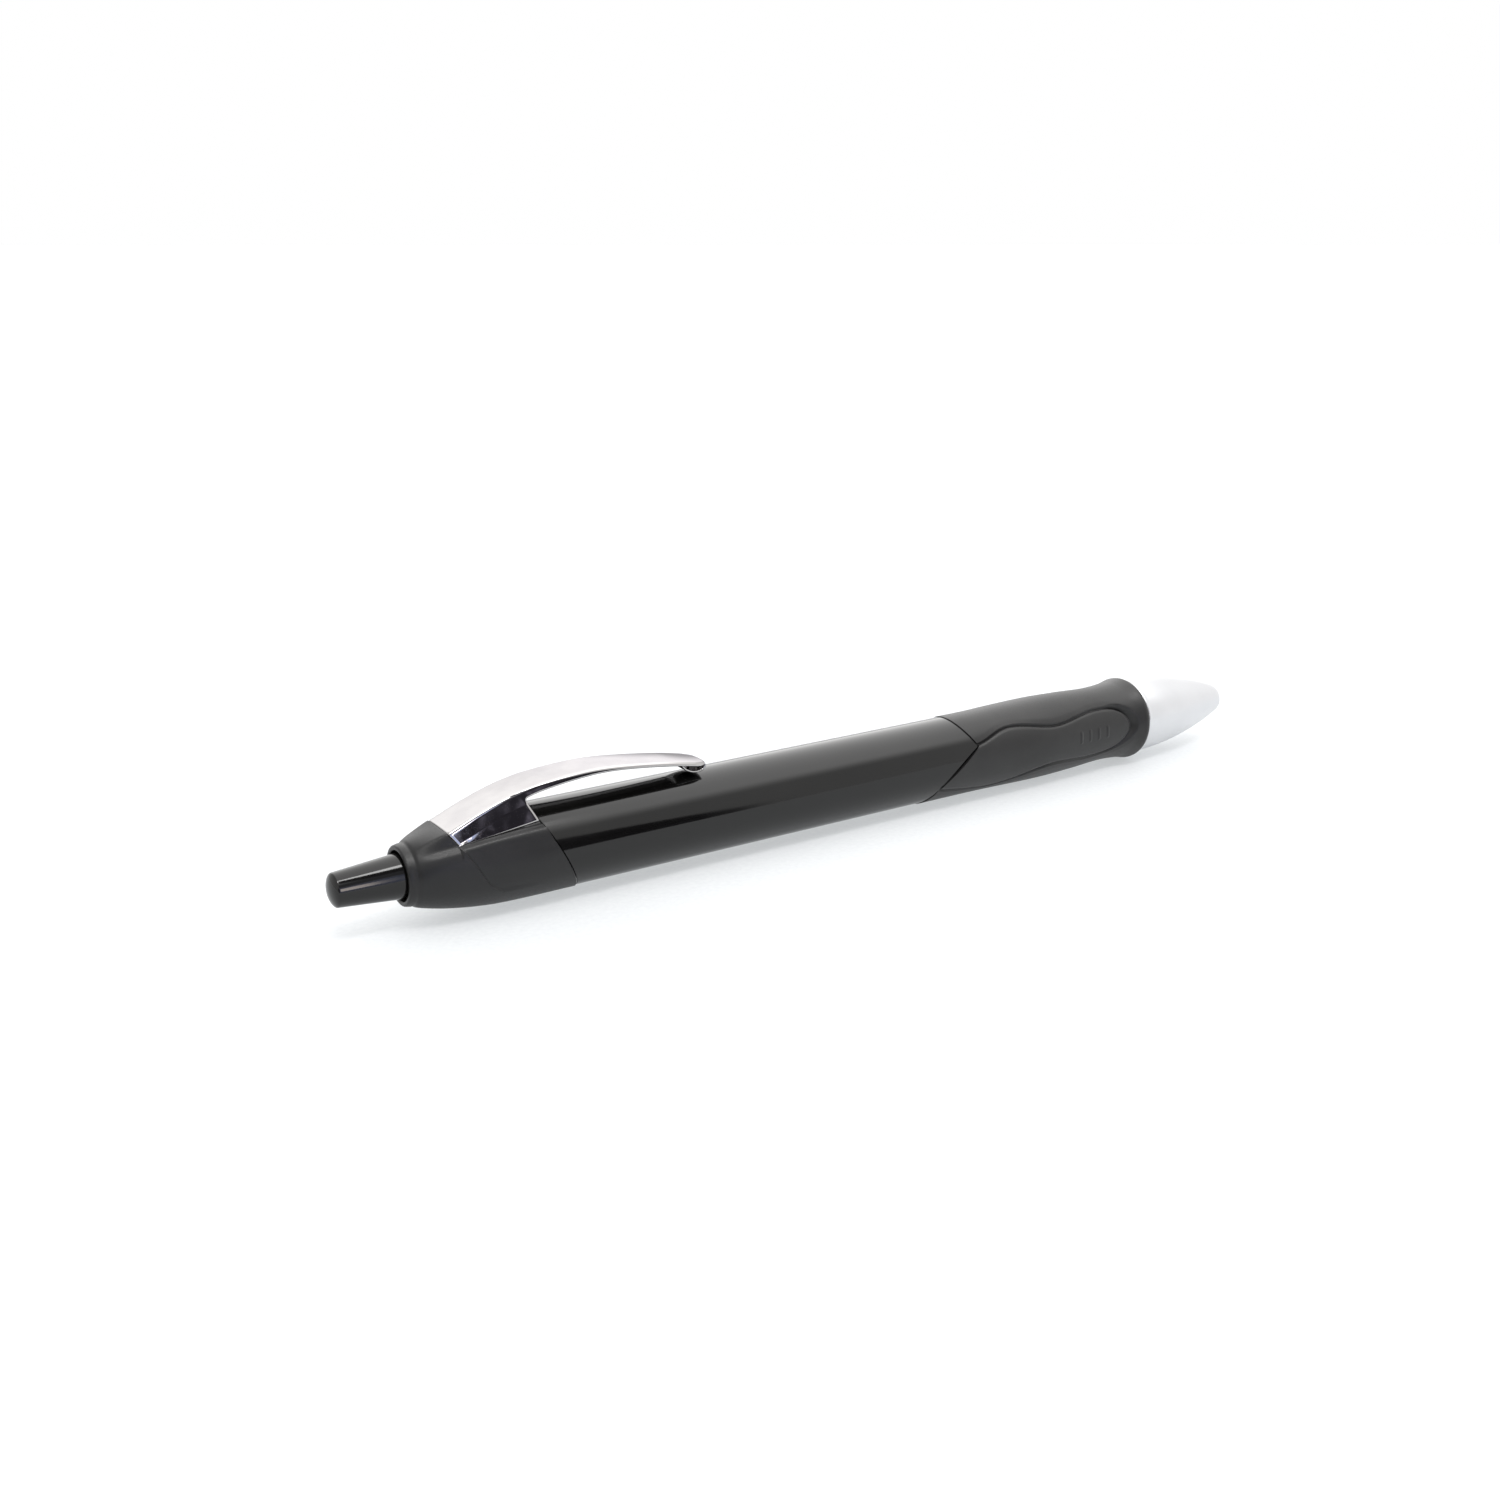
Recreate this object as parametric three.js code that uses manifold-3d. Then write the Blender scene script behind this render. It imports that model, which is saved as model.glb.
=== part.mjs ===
// A retractable ballpoint pen, lying level with its clip upwards.
// Millimetres. X runs from the push button at the rear to the writing end, and Z is up.
// Every piece is drawn about the pen's own axis, then raised so that the grip's lip rests on Z = 0.
import * as THREE from 'three';
import { mergeVertices } from 'three/addons/utils/BufferGeometryUtils.js';
import Module from 'manifold-3d';

const wasm = await Module();
wasm.setup();

// ---- Driving dimensions ----

const PEN_LENGTH = 142.2;
const FRONT_X = 70.5;
const REAR_X = FRONT_X - PEN_LENGTH;
const BARREL_RADIUS = 5.5;
const LIP_RADIUS = 6;
const FIT_GAP = 0.15;
const ROUND_STEPS = 24;
const STEP_ANGLE = 2 * Math.PI / ROUND_STEPS;
const AXIS_HEIGHT = LIP_RADIUS * Math.cos(STEP_ANGLE / 2);

// Push button and its stem.
const BUTTON_END_RADIUS = 2;
const BUTTON_ROOT_RADIUS = 2.7;
const BUTTON_EDGE = 0.5;
const BUTTON_FLANGE_RADIUS = 3.3;
const BUTTON_FLANGE_X = -62.4;
const BUTTON_FLANGE_LENGTH = 0.8;
const STEM_RADIUS = 1.7;
const STEM_END_X = -54.2;

// Rear cap, which carries the clip and ends in a slanting seam.
const CAP_REAR_X = -63.6;
const CAP_HOLE_RADIUS = 2.95;
const CAP_WALL = 0.9;
const CAP_LIP_X = -63;
const CAP_LIP_RADIUS = 3.6;
const CAP_FRONT_RADIUS = 5.62;
const CAP_SEAM_X = -45.2;
const CAP_SEAM_TILT = 2.8;
const CAP_SEAM_REACH = 8;
const CAP_BORE_RADIUS = 3.6;
const CAP_SOCKET_RADIUS = 4.85;
const CAP_SOCKET_X = -55.4;
const CAP_LIP_EDGE = 0.35;

// The boss rises behind the clip's root, and the seat makes room for that root.
const BOSS_REAR_X = -61.9;
const BOSS_HALF_WIDTH = 2.6;
const BOSS_ROOT_RADIUS = 3.8;
const CLIP_SEAT_FRONT_X = -52;

// Barrel: a tube with a rear spigot inside the cap, bored out in front to take the grip's core.
const SPIGOT_REAR_X = -54;
const SPIGOT_RADIUS = 4.7;
const BARREL_BORE_RADIUS = 4.15;
const BARREL_SOCKET_X = -5;

// Core: the stiff tube under the grip, with a narrower tail pushed into the barrel.
const CORE_RADIUS = 4.4;
const CORE_BORE_RADIUS = 3.9;
const CORE_TAIL_X = -14;
const CORE_TAIL_RADIUS = 4;
const CORE_TAIL_BORE_RADIUS = 3.4;
const CORE_END_X = 50.2;

// Grip: its rear seam runs furthest back underneath and comes to a point on each side.
const GRIP_SEAM_X = 9.9;
const GRIP_SEAM_POINT = 8.1;
const GRIP_SEAM_TOP = 6;
const GRIP_SEAM_REACH = 14;
const GRIP_POINT_ANGLE = 64;
const GRIP_BORE_RADIUS = 4.5;
const GRIP_FRONT_X = 50.6;
const LIP_X = 50;
const LIP_EDGE = 0.4;

// Side pads, each lying in a pocket in the grip.
const PAD_FLOOR_RADIUS = 5.05;
const PAD_FRONT_X = 47;
const PAD_FRONT_ROUNDING = 2.2;
const PAD_EDGE_ROLL = 0.35;
const PAD_GAP = 0.35;
const PAD_RIDGE_X = 37;
const PAD_RIDGE_PITCH = 1.8;
const PAD_RIDGE_COUNT = 4;
const PAD_RIDGE_LENGTH = 2.4;
const PAD_RIDGE_WIDTH = 0.5;
const PAD_RIDGE_HEIGHT = 0.1;

// Clip: a stamped sheet with an arched arm and two side plates that straddle the cap.
const SHEET = 0.45;
const CLIP_REAR_X = -58.4;
const CLIP_TIP_X = -24;
const CLIP_REAR_HALF_WIDTH = 2.9;
const CLIP_TIP_HALF_WIDTH = 2.45;
const CLIP_CROWN = 0.2;
const CLIP_GAP = 0.3;
const FLANGE_FRONT_X = -30;
const FLANGE_DEPTH = 1;
const PLATE_TOP_FRONT_X = -49.7;
const PLATE_BOTTOM_REAR_X = -57.45;
const PLATE_BOTTOM_FRONT_X = -47.8;
const PLATE_BOTTOM_REAR_Z = 3.4;
const PLATE_BOTTOM_FRONT_Z = 4.64;
const SIDE_LEAN = 17;
const TAB_REAR_X = -57.4;
const TAB_LENGTH = 1.8;
const TAB_HALF_WIDTH = 1.3;
const TAB_BOTTOM_Z = 3.95;
const TROUGH_X = -25.85;
const TROUGH_HALF_LENGTH = 1.7;
const TROUGH_HALF_WIDTH = 2;
const TROUGH_DEPTH = 1.25;

// Nose cone and the bush that it screws into.
const NOSE_BASE_X = 50.9;
const NOSE_SHOULDER_X = 69.2;
const NOSE_BORE_RADIUS = 2.6;
const NOSE_THREAD_RADIUS = 3.2;
const NOSE_THREAD_REAR_X = 42;
const NOSE_SPRING_SEAT_X = 64.2;
const NOSE_TIP_RADIUS = 1.7;
const NOSE_TIP_EDGE = 0.4;
const POINT_BORE_RADIUS = 1.35;
const BUSH_REAR_X = 40.5;
const BUSH_RADIUS = 3.8;
const BUSH_BORE_RADIUS = 3.3;

// Click mechanism.
const GUIDE_REAR_X = -54.9;
const GUIDE_FRONT_X = -43;
const GUIDE_RADIUS = 3.95;
const GUIDE_BORE_RADIUS = 3.45;
const GUIDE_FLANGE_RADIUS = 4.5;
const GUIDE_FLANGE_LENGTH = 0.7;
const GUIDE_RIB_RADIUS = 2.95;
const GUIDE_RIB_WIDTH = 1.1;
const GUIDE_RIB_REAR_X = -53.5;
const GUIDE_RIB_FRONT_X = -48;
const CAM_STEPS = 32;
const CAM_TEETH = 8;
const CAM_TOOTH_HEIGHT = 0.7;
const CROWN_REAR_X = -59.8;
const CROWN_FRONT_X = -52.3;
const CROWN_RADIUS = 2.6;
const ROTOR_REAR_X = -51.2;
const ROTOR_FRONT_X = -46;
const ROTOR_RADIUS = 2.5;
const ROTOR_CUP_RADIUS = 1.75;
const ROTOR_WEB_X = -48.9;
const FIN_RADIUS = 3.3;
const FIN_WIDTH = 0.9;
const FIN_REAR_X = -50.3;
const FIN_LENGTH = 3;
const FIN_COUNT = 4;

// Refill.
const REFILL_RADIUS = 1.6;
const REFILL_BORE_RADIUS = 1.2;
const REFILL_REAR_X = -47;
const REFILL_FRONT_X = 50;
const TAIL_REAR_X = -48.6;
const TAIL_RADIUS = 1.45;
const PLUG_RADIUS = 1.05;
const INK_REAR_X = -35;
const INK_FRONT_X = 47.7;
const COLLAR_REAR_X = 48;
const COLLAR_SEAT_X = 50.3;
const COLLAR_SEAT_RADIUS = 2.3;
const COLLAR_SEAT_LENGTH = 0.9;
const COLLAR_RADIUS = 1.5;
const COLLAR_FRONT_X = 57.5;
const POINT_RADIUS = 1.15;
const POINT_TAIL_X = 54.8;
const POINT_TAIL_RADIUS = 0.8;
const POINT_SHOULDER_X = 64.2;
const POINT_FRONT_X = 67.3;
const BALL_RADIUS = 0.35;
const BALL_SOCKET_RADIUS = 0.42;
const REFILL_STEPS = 20;

// Return spring.
const SPRING_REAR_X = 51.5;
const SPRING_FRONT_X = 63.9;
const SPRING_COIL_RADIUS = 1.95;
const SPRING_WIRE_RADIUS = 0.2;
const SPRING_TURNS = 8;
const SPRING_TURN_STEPS = 16;

// ---- General helpers ----

const degrees = THREE.MathUtils.degToRad;
const lerp = THREE.MathUtils.lerp;

// A smooth function of x that passes through the named stations.
function through(stations) {
  const at = stations.map(([x]) => x);
  const values = stations.map(([, value]) => value);
  const curve = new THREE.CubicInterpolant(at, values, 1);
  return (x) => curve.evaluate(x)[0];
}

// Points [x, value(x)] at even steps from one end to the other.
function sampled(value, from, to, steps) {
  const points = [];
  for (let i = 0; i <= steps; i += 1) {
    const x = lerp(from, to, i / steps);
    points.push([x, value(x)]);
  }
  return points;
}

// Turns an outline of [x, radius] points about the pen's axis.
function turned(outline, steps = ROUND_STEPS) {
  const points = outline.map(([x, radius]) => new THREE.Vector2(radius, x));
  const geometry = new THREE.LatheGeometry(points, steps, Math.PI / steps);
  geometry.rotateZ(-Math.PI / 2);
  return facingOut(geometry);
}

// A tube wall: the outline is closed back to its first point before it is turned.
function turnedRing(outline, steps) {
  return turned([...outline, outline[0]], steps);
}

// Joins shared points, drops flat triangles and makes the faces look outwards.
function facingOut(geometry) {
  geometry.deleteAttribute('normal');
  geometry.deleteAttribute('uv');
  const merged = mergeVertices(geometry, 1e-4);
  const index = merged.index.array;
  const position = merged.attributes.position;
  const corners = [new THREE.Vector3(), new THREE.Vector3(), new THREE.Vector3()];
  const triangles = [];
  let volume = 0;
  for (let i = 0; i < index.length; i += 3) {
    const [a, b, c] = [index[i], index[i + 1], index[i + 2]];
    if (a === b || b === c || c === a) {
      continue;
    }
    triangles.push([a, b, c]);
    corners[0].fromBufferAttribute(position, a);
    corners[1].fromBufferAttribute(position, b);
    corners[2].fromBufferAttribute(position, c);
    volume += corners[0].dot(corners[1].cross(corners[2]));
  }
  const outward = volume < 0 ? triangles.map(([a, b, c]) => [a, c, b]) : triangles;
  merged.setIndex(outward.flat());
  return merged;
}

// A box cut into a grid, with each of its points moved to place(s, t, v), all three from 0 to 1.
function mappedBox([sSteps, tSteps, vSteps], place) {
  const geometry = new THREE.BoxGeometry(1, 1, 1, sSteps, tSteps, vSteps);
  const position = geometry.attributes.position;
  for (let i = 0; i < position.count; i += 1) {
    const s = position.getX(i) + 0.5;
    const t = position.getY(i) + 0.5;
    const v = position.getZ(i) + 0.5;
    position.setXYZ(i, ...place(s, t, v));
  }
  return facingOut(geometry);
}

// A plain block between two corners.
function block([x0, y0, z0], [x1, y1, z1]) {
  const geometry = new THREE.BoxGeometry(x1 - x0, y1 - y0, z1 - z0);
  geometry.translate((x0 + x1) / 2, (y0 + y1) / 2, (z0 + z1) / 2);
  return facingOut(geometry);
}

// The angle of a point about the axis: 0 at the top, half a turn underneath, either side alike.
function angleFromTop(y, z) {
  return Math.abs(Math.atan2(y, z));
}

// Slides points along X by shift(x, angle from the top).
function slid(geometry, shift) {
  const position = geometry.attributes.position;
  for (let i = 0; i < position.count; i += 1) {
    const [x, y, z] = [position.getX(i), position.getY(i), position.getZ(i)];
    position.setX(i, x + shift(x, angleFromTop(y, z)));
  }
  return geometry;
}

function toManifold(geometry) {
  const mesh = new wasm.Mesh({
    numProp: 3,
    vertProperties: new Float32Array(geometry.attributes.position.array),
    triVerts: new Uint32Array(geometry.index.array),
  });
  return new wasm.Manifold(mesh);
}

function fromManifold(solid) {
  const mesh = solid.getMesh();
  const geometry = new THREE.BufferGeometry();
  geometry.setAttribute('position', new THREE.BufferAttribute(mesh.vertProperties, 3));
  geometry.setIndex([...mesh.triVerts]);
  return geometry;
}

function joined(...geometries) {
  return fromManifold(geometries.map(toManifold).reduce((whole, next) => whole.add(next)));
}

function cut(base, ...cutters) {
  return fromManifold(cutters.map(toManifold).reduce((rest, next) => rest.subtract(next), toManifold(base)));
}

const group = new THREE.Group();
group.name = 'retractable_pen';

function addPiece(name, geometry, { color, roughness, metalness }) {
  const material = new THREE.MeshStandardMaterial({ color, roughness, metalness });
  const mesh = new THREE.Mesh(geometry, material);
  geometry.translate(0, 0, AXIS_HEIGHT);
  geometry.computeVertexNormals();
  mesh.name = name;
  group.add(mesh);
}

// ---- Materials ----

const GLOSS_BLACK = { color: 0x141414, roughness: 0.12, metalness: 0 };
const SATIN_BLACK = { color: 0x1f1f20, roughness: 0.45, metalness: 0 };
const CORE_PLASTIC = { color: 0x2b2b2c, roughness: 0.4, metalness: 0 };
const GRIP_RUBBER = { color: 0x2a2827, roughness: 0.62, metalness: 0 };
const PAD_RUBBER = { color: 0x262626, roughness: 0.55, metalness: 0 };
const CHROME = { color: 0xe6e6e8, roughness: 0.08, metalness: 1 };
const SATIN_SILVER = { color: 0xd9dde0, roughness: 0.3, metalness: 0.85 };
const WHITE_PLASTIC = { color: 0xe8e6e0, roughness: 0.4, metalness: 0 };
const CLEAR_PLASTIC = { color: 0xd5d8d6, roughness: 0.25, metalness: 0 };
const BLACK_INK = { color: 0x0c0c12, roughness: 0.3, metalness: 0 };
const BRASS = { color: 0xc9a655, roughness: 0.28, metalness: 1 };
const SPRING_STEEL = { color: 0xb9bcc0, roughness: 0.25, metalness: 1 };
const CARBIDE = { color: 0x8f9296, roughness: 0.15, metalness: 1 };

// ---- Curves shared by neighbouring pieces ----

const capRadius = through([
  [CAP_LIP_X, CAP_LIP_RADIUS],
  [-61.4, 4.15],
  [-58.5, 4.82],
  [-55, 5.33],
  [-51.5, 5.58],
  [CAP_SEAM_X, CAP_FRONT_RADIUS],
]);

const gripRadius = through([
  [GRIP_SEAM_X, 5.6],
  [20, 5.63],
  [31.5, 5.83],
  [38, 5.68],
  [44, 5.42],
  [48, 5.62],
  [LIP_X, LIP_RADIUS],
]);

const noseRadius = through([
  [NOSE_BASE_X, 5.5],
  [54.5, 5.36],
  [58.5, 4.93],
  [62.5, 4.22],
  [66.5, 3.25],
  [NOSE_SHOULDER_X, 2.4],
]);

const padRadius = through([
  [10, 5.62],
  [20, 5.66],
  [31, 5.8],
  [40, 5.5],
  [PAD_FRONT_X, 5.25],
]);

// Angles from the top, in degrees, of the pad's upper and lower edges.
const padUpperAngle = through([[10, 66], [18, 63], [24, 47.5], [32.5, 60], [40.5, 49], [47, 62]]);
const padLowerAngle = through([[10, 116], [17, 131], [21.5, 137], [31.5, 116], [40.5, 122.5], [47, 110]]);

// Height of the clip's edge above the axis.
const clipEdgeZ = through([
  [CLIP_REAR_X, 4.75],
  [-54.7, 6.3],
  [-50.7, 7.65],
  [-46.6, 8.45],
  [-40.3, 8.84],
  [-36, 8.62],
  [-29, 7.72],
  [CLIP_TIP_X, 6.9],
]);

// How much of a seam's shape is felt at x: all of it at the seam, none beyond its reach.
function fadeFrom(seamX, reach, x) {
  return Math.max(0, 1 - Math.abs(x - seamX) / reach);
}

// The cap's seam is a slanting plane, furthest back at the top.
function capSeamShift(x, angle) {
  return -CAP_SEAM_TILT * Math.cos(angle) * fadeFrom(CAP_SEAM_X, CAP_SEAM_REACH, x);
}

// The grip's seam, forward of its lowest point: a shallow bow on top, then a sweep back underneath.
function gripSeamForward(angle) {
  const point = degrees(GRIP_POINT_ANGLE);
  if (angle < point) {
    return lerp(GRIP_SEAM_TOP, GRIP_SEAM_POINT, (angle / point) ** 2);
  }
  return GRIP_SEAM_POINT * (1 - (angle - point) / (Math.PI - point)) ** 2.6;
}

function gripSeamShift(x, angle) {
  return gripSeamForward(angle) * fadeFrom(GRIP_SEAM_X, GRIP_SEAM_REACH, x);
}

// ---- Push button and rear cap ----

function pushButton() {
  const rootX = BUTTON_FLANGE_X - BUTTON_EDGE;
  return turned([
    [REAR_X, 0],
    [REAR_X, BUTTON_END_RADIUS - BUTTON_EDGE],
    [REAR_X + BUTTON_EDGE * 0.3, BUTTON_END_RADIUS - BUTTON_EDGE * 0.3],
    [REAR_X + BUTTON_EDGE, BUTTON_END_RADIUS],
    [rootX, BUTTON_ROOT_RADIUS],
    [BUTTON_FLANGE_X, BUTTON_ROOT_RADIUS],
    [BUTTON_FLANGE_X, BUTTON_FLANGE_RADIUS],
    [BUTTON_FLANGE_X + BUTTON_FLANGE_LENGTH, BUTTON_FLANGE_RADIUS],
    [BUTTON_FLANGE_X + BUTTON_FLANGE_LENGTH, STEM_RADIUS],
    [STEM_END_X, STEM_RADIUS],
    [STEM_END_X, 0],
  ]);
}

// The cap's rear rises to meet the end of the clip.
function capBoss() {
  const frontX = CLIP_REAR_X - CLIP_GAP;
  const frontZ = clipEdgeZ(CLIP_REAR_X) + CLIP_CROWN;
  const leastHeight = 0.1;
  return mappedBox([6, 8, 1], (s, t, v) => {
    const x = lerp(BOSS_REAR_X, frontX, s);
    const side = 2 * t - 1;
    const y = side * BOSS_HALF_WIDTH;
    const bottom = Math.sqrt(BOSS_ROOT_RADIUS ** 2 - y ** 2);
    const top = lerp(capRadius(BOSS_REAR_X), frontZ, s) - CLIP_CROWN * side ** 2;
    return [x, y, lerp(bottom, Math.max(top, bottom + leastHeight), v)];
  });
}

// The room that the clip's root needs in the cap, below and beside it.
function clipSeat() {
  return mappedBox([8, 6, 1], (s, t, v) => {
    const x = lerp(CLIP_REAR_X - CLIP_GAP, CLIP_SEAT_FRONT_X, s);
    const side = 2 * t - 1;
    const y = side * (clipHalfWidth(x) + CLIP_GAP);
    const underside = clipEdgeZ(x) + CLIP_CROWN * (1 - side ** 2) - SHEET - CLIP_GAP;
    return [x, y, underside + v * LIP_RADIUS];
  });
}

function rearCap() {
  const seamX = CAP_SEAM_X - FIT_GAP / 2;
  const body = turnedRing([
    [CAP_REAR_X, CAP_HOLE_RADIUS],
    [CAP_REAR_X, CAP_LIP_RADIUS - CAP_LIP_EDGE],
    [CAP_REAR_X + CAP_LIP_EDGE * 0.6, CAP_LIP_RADIUS - CAP_LIP_EDGE * 0.3],
    ...sampled(capRadius, CAP_LIP_X, -59, 4),
    ...sampled(capRadius, -57, seamX, 6),
    [seamX, CAP_SOCKET_RADIUS],
    [CAP_SOCKET_X, CAP_SOCKET_RADIUS],
    [CAP_SOCKET_X, CAP_BORE_RADIUS],
    [CAP_REAR_X + CAP_WALL, CAP_BORE_RADIUS],
    [CAP_REAR_X + CAP_WALL, CAP_HOLE_RADIUS],
  ]);
  const slot = block(
    [TAB_REAR_X - CLIP_GAP, -TAB_HALF_WIDTH - CLIP_GAP, CAP_BORE_RADIUS * 0.8],
    [TAB_REAR_X + TAB_LENGTH + CLIP_GAP, TAB_HALF_WIDTH + CLIP_GAP, LIP_RADIUS],
  );
  const recesses = [clipSeat(), plateSeat(1), plateSeat(-1), slot];
  return cut(joined(slid(body, capSeamShift), capBoss()), ...recesses);
}

// ---- Clip ----

function clipHalfWidth(x) {
  const along = (x - CLIP_REAR_X) / (CLIP_TIP_X - CLIP_REAR_X);
  const straight = lerp(CLIP_REAR_HALF_WIDTH, CLIP_TIP_HALF_WIDTH, along);
  const cornerLength = 1;
  const intoCorner = Math.max(0, (x - CLIP_TIP_X) / cornerLength + 1);
  return straight * (1 - 0.3 * intoCorner ** 2);
}

function clipArm() {
  return mappedBox([36, 6, 1], (s, t, v) => {
    const x = lerp(CLIP_REAR_X, CLIP_TIP_X, s);
    const side = 2 * t - 1;
    const top = clipEdgeZ(x) + CLIP_CROWN * (1 - side ** 2);
    return [x, side * clipHalfWidth(x), top - SHEET * (1 - v)];
  });
}

// How far out the clip's leaning side stands at height z, beside the arm's edge at x.
function clipSideY(x, z) {
  return clipHalfWidth(x) + (clipEdgeZ(x) - z) * Math.tan(degrees(SIDE_LEAN));
}

// The folded edge under the arm, deep at the root and gone towards the tip.
function clipFlange(side) {
  return mappedBox([20, 1, 1], (s, t, v) => {
    const x = lerp(PLATE_TOP_FRONT_X - 1, FLANGE_FRONT_X, s);
    const depth = lerp(FLANGE_DEPTH, SHEET * 0.8, s);
    const z = clipEdgeZ(x) - lerp(depth, SHEET * 0.3, v);
    return [x, side * (clipSideY(x, z) - SHEET * (1 - t)), z];
  });
}

// A side plate, from the arm's edge down to the shoulder of the cap. Its outline grows all round
// by margin, and it reaches from innerSkin to outerSkin, both counted outwards from its outer face.
function plateShape(side, margin, innerSkin, outerSkin) {
  return mappedBox([10, 4, 1], (s, t, v) => {
    const topX = lerp(CLIP_REAR_X + 0.1, PLATE_TOP_FRONT_X, s);
    const topZ = clipEdgeZ(topX) - SHEET * 0.3;
    const bottomX = lerp(PLATE_BOTTOM_REAR_X, PLATE_BOTTOM_FRONT_X, s) + lerp(-margin, margin, s);
    const bottomZ = lerp(PLATE_BOTTOM_REAR_Z, PLATE_BOTTOM_FRONT_Z, s) - margin;
    const z = lerp(topZ, bottomZ, t);
    const y = clipSideY(topX, z) + lerp(innerSkin, outerSkin, v);
    return [lerp(topX + lerp(-margin, margin, s), bottomX, t), side * y, z];
  });
}

function clipPlate(side) {
  return plateShape(side, 0, -SHEET, 0);
}

// The recess that a side plate lies in, open outwards.
function plateSeat(side) {
  return plateShape(side, CLIP_GAP, -SHEET - CLIP_GAP, LIP_RADIUS / 2);
}

// The tab that holds the clip in the cap's slot.
function clipTab() {
  const top = clipEdgeZ(TAB_REAR_X + TAB_LENGTH / 2);
  return block(
    [TAB_REAR_X, -TAB_HALF_WIDTH, TAB_BOTTOM_Z],
    [TAB_REAR_X + TAB_LENGTH, TAB_HALF_WIDTH, top - SHEET / 2],
  );
}

// The trough pressed across the arm's tip, which grips against the barrel.
function clipTrough() {
  const wall = SHEET * 0.8;
  const section = new THREE.Shape();
  section.absellipse(0, 0, TROUGH_HALF_LENGTH, TROUGH_DEPTH, Math.PI, 2 * Math.PI, false);
  section.absellipse(0, 0, TROUGH_HALF_LENGTH - wall, TROUGH_DEPTH - wall, 2 * Math.PI, Math.PI, true);
  const geometry = new THREE.ExtrudeGeometry(section, {
    depth: 2 * TROUGH_HALF_WIDTH,
    bevelEnabled: false,
    curveSegments: 10,
  });
  geometry.rotateX(Math.PI / 2);
  geometry.translate(TROUGH_X, TROUGH_HALF_WIDTH, clipEdgeZ(TROUGH_X));
  return facingOut(geometry);
}

function clip() {
  return joined(
    clipArm(),
    clipFlange(1),
    clipFlange(-1),
    clipPlate(1),
    clipPlate(-1),
    clipTab(),
    clipTrough(),
  );
}

// ---- Barrel, grip and nose ----

function barrel() {
  const rearSeamX = CAP_SEAM_X + FIT_GAP / 2;
  const frontSeamX = GRIP_SEAM_X - FIT_GAP / 2;
  const body = turnedRing([
    [SPIGOT_REAR_X, BARREL_BORE_RADIUS],
    [SPIGOT_REAR_X, SPIGOT_RADIUS],
    [rearSeamX, SPIGOT_RADIUS],
    [rearSeamX, BARREL_RADIUS],
    [rearSeamX + CAP_SEAM_REACH, BARREL_RADIUS],
    [frontSeamX - GRIP_SEAM_REACH, BARREL_RADIUS],
    [frontSeamX, BARREL_RADIUS],
    [frontSeamX, CORE_RADIUS + FIT_GAP],
    [BARREL_SOCKET_X, CORE_RADIUS + FIT_GAP],
    [BARREL_SOCKET_X, BARREL_BORE_RADIUS],
  ]);
  return slid(slid(body, capSeamShift), gripSeamShift);
}

function gripCore() {
  const shoulderX = BARREL_SOCKET_X + FIT_GAP;
  return turnedRing([
    [CORE_TAIL_X, CORE_TAIL_BORE_RADIUS],
    [CORE_TAIL_X, CORE_TAIL_RADIUS],
    [shoulderX, CORE_TAIL_RADIUS],
    [shoulderX, CORE_RADIUS],
    [CORE_END_X, CORE_RADIUS],
    [CORE_END_X, CORE_BORE_RADIUS],
    [shoulderX + 1, CORE_BORE_RADIUS],
    [shoulderX, CORE_TAIL_BORE_RADIUS],
  ]);
}

// A box wrapped round one side of the grip, outlined like the pad but larger by margin.
function padShape(side, steps, margin, rearX, radiusAt) {
  const marginAngle = margin / BARREL_RADIUS;
  return mappedBox(steps, (s, t, v) => {
    const across = 2 * t - 1;
    const frontX = PAD_FRONT_X + margin - PAD_FRONT_ROUNDING * across ** 2;
    const x = lerp(rearX(t), frontX, s);
    const upper = degrees(padUpperAngle(x)) - marginAngle;
    const lower = degrees(padLowerAngle(x)) + marginAngle;
    const angle = lerp(upper, lower, t);
    const radius = radiusAt(x, across, v);
    return [x, side * radius * Math.sin(angle), radius * Math.cos(angle)];
  });
}

function padPocket(side) {
  const behindSeam = 3;
  const rearX = (t) => padRearX(t) - behindSeam;
  const radiusAt = (x, across, v) => lerp(PAD_FLOOR_RADIUS - FIT_GAP, LIP_RADIUS + 1, v);
  return padShape(side, [24, 12, 1], PAD_GAP, rearX, radiusAt);
}

// The pad's rear edge follows the seam, a little ahead of it.
function padRearX(t) {
  const angle = degrees(lerp(padUpperAngle(18), padLowerAngle(12), t));
  return GRIP_SEAM_X + gripSeamForward(angle) + PAD_GAP;
}

function gripSleeve() {
  const seamX = GRIP_SEAM_X + FIT_GAP / 2;
  const body = turnedRing([
    ...sampled(gripRadius, seamX, 44, 12),
    ...sampled(gripRadius, 46, LIP_X, 4),
    [GRIP_FRONT_X - LIP_EDGE / 2, LIP_RADIUS - LIP_EDGE / 4],
    [GRIP_FRONT_X, LIP_RADIUS - LIP_EDGE],
    [GRIP_FRONT_X, GRIP_BORE_RADIUS],
    [seamX + GRIP_SEAM_REACH, GRIP_BORE_RADIUS],
    [seamX, GRIP_BORE_RADIUS],
  ]);
  return cut(slid(body, gripSeamShift), padPocket(1), padPocket(-1));
}

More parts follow.
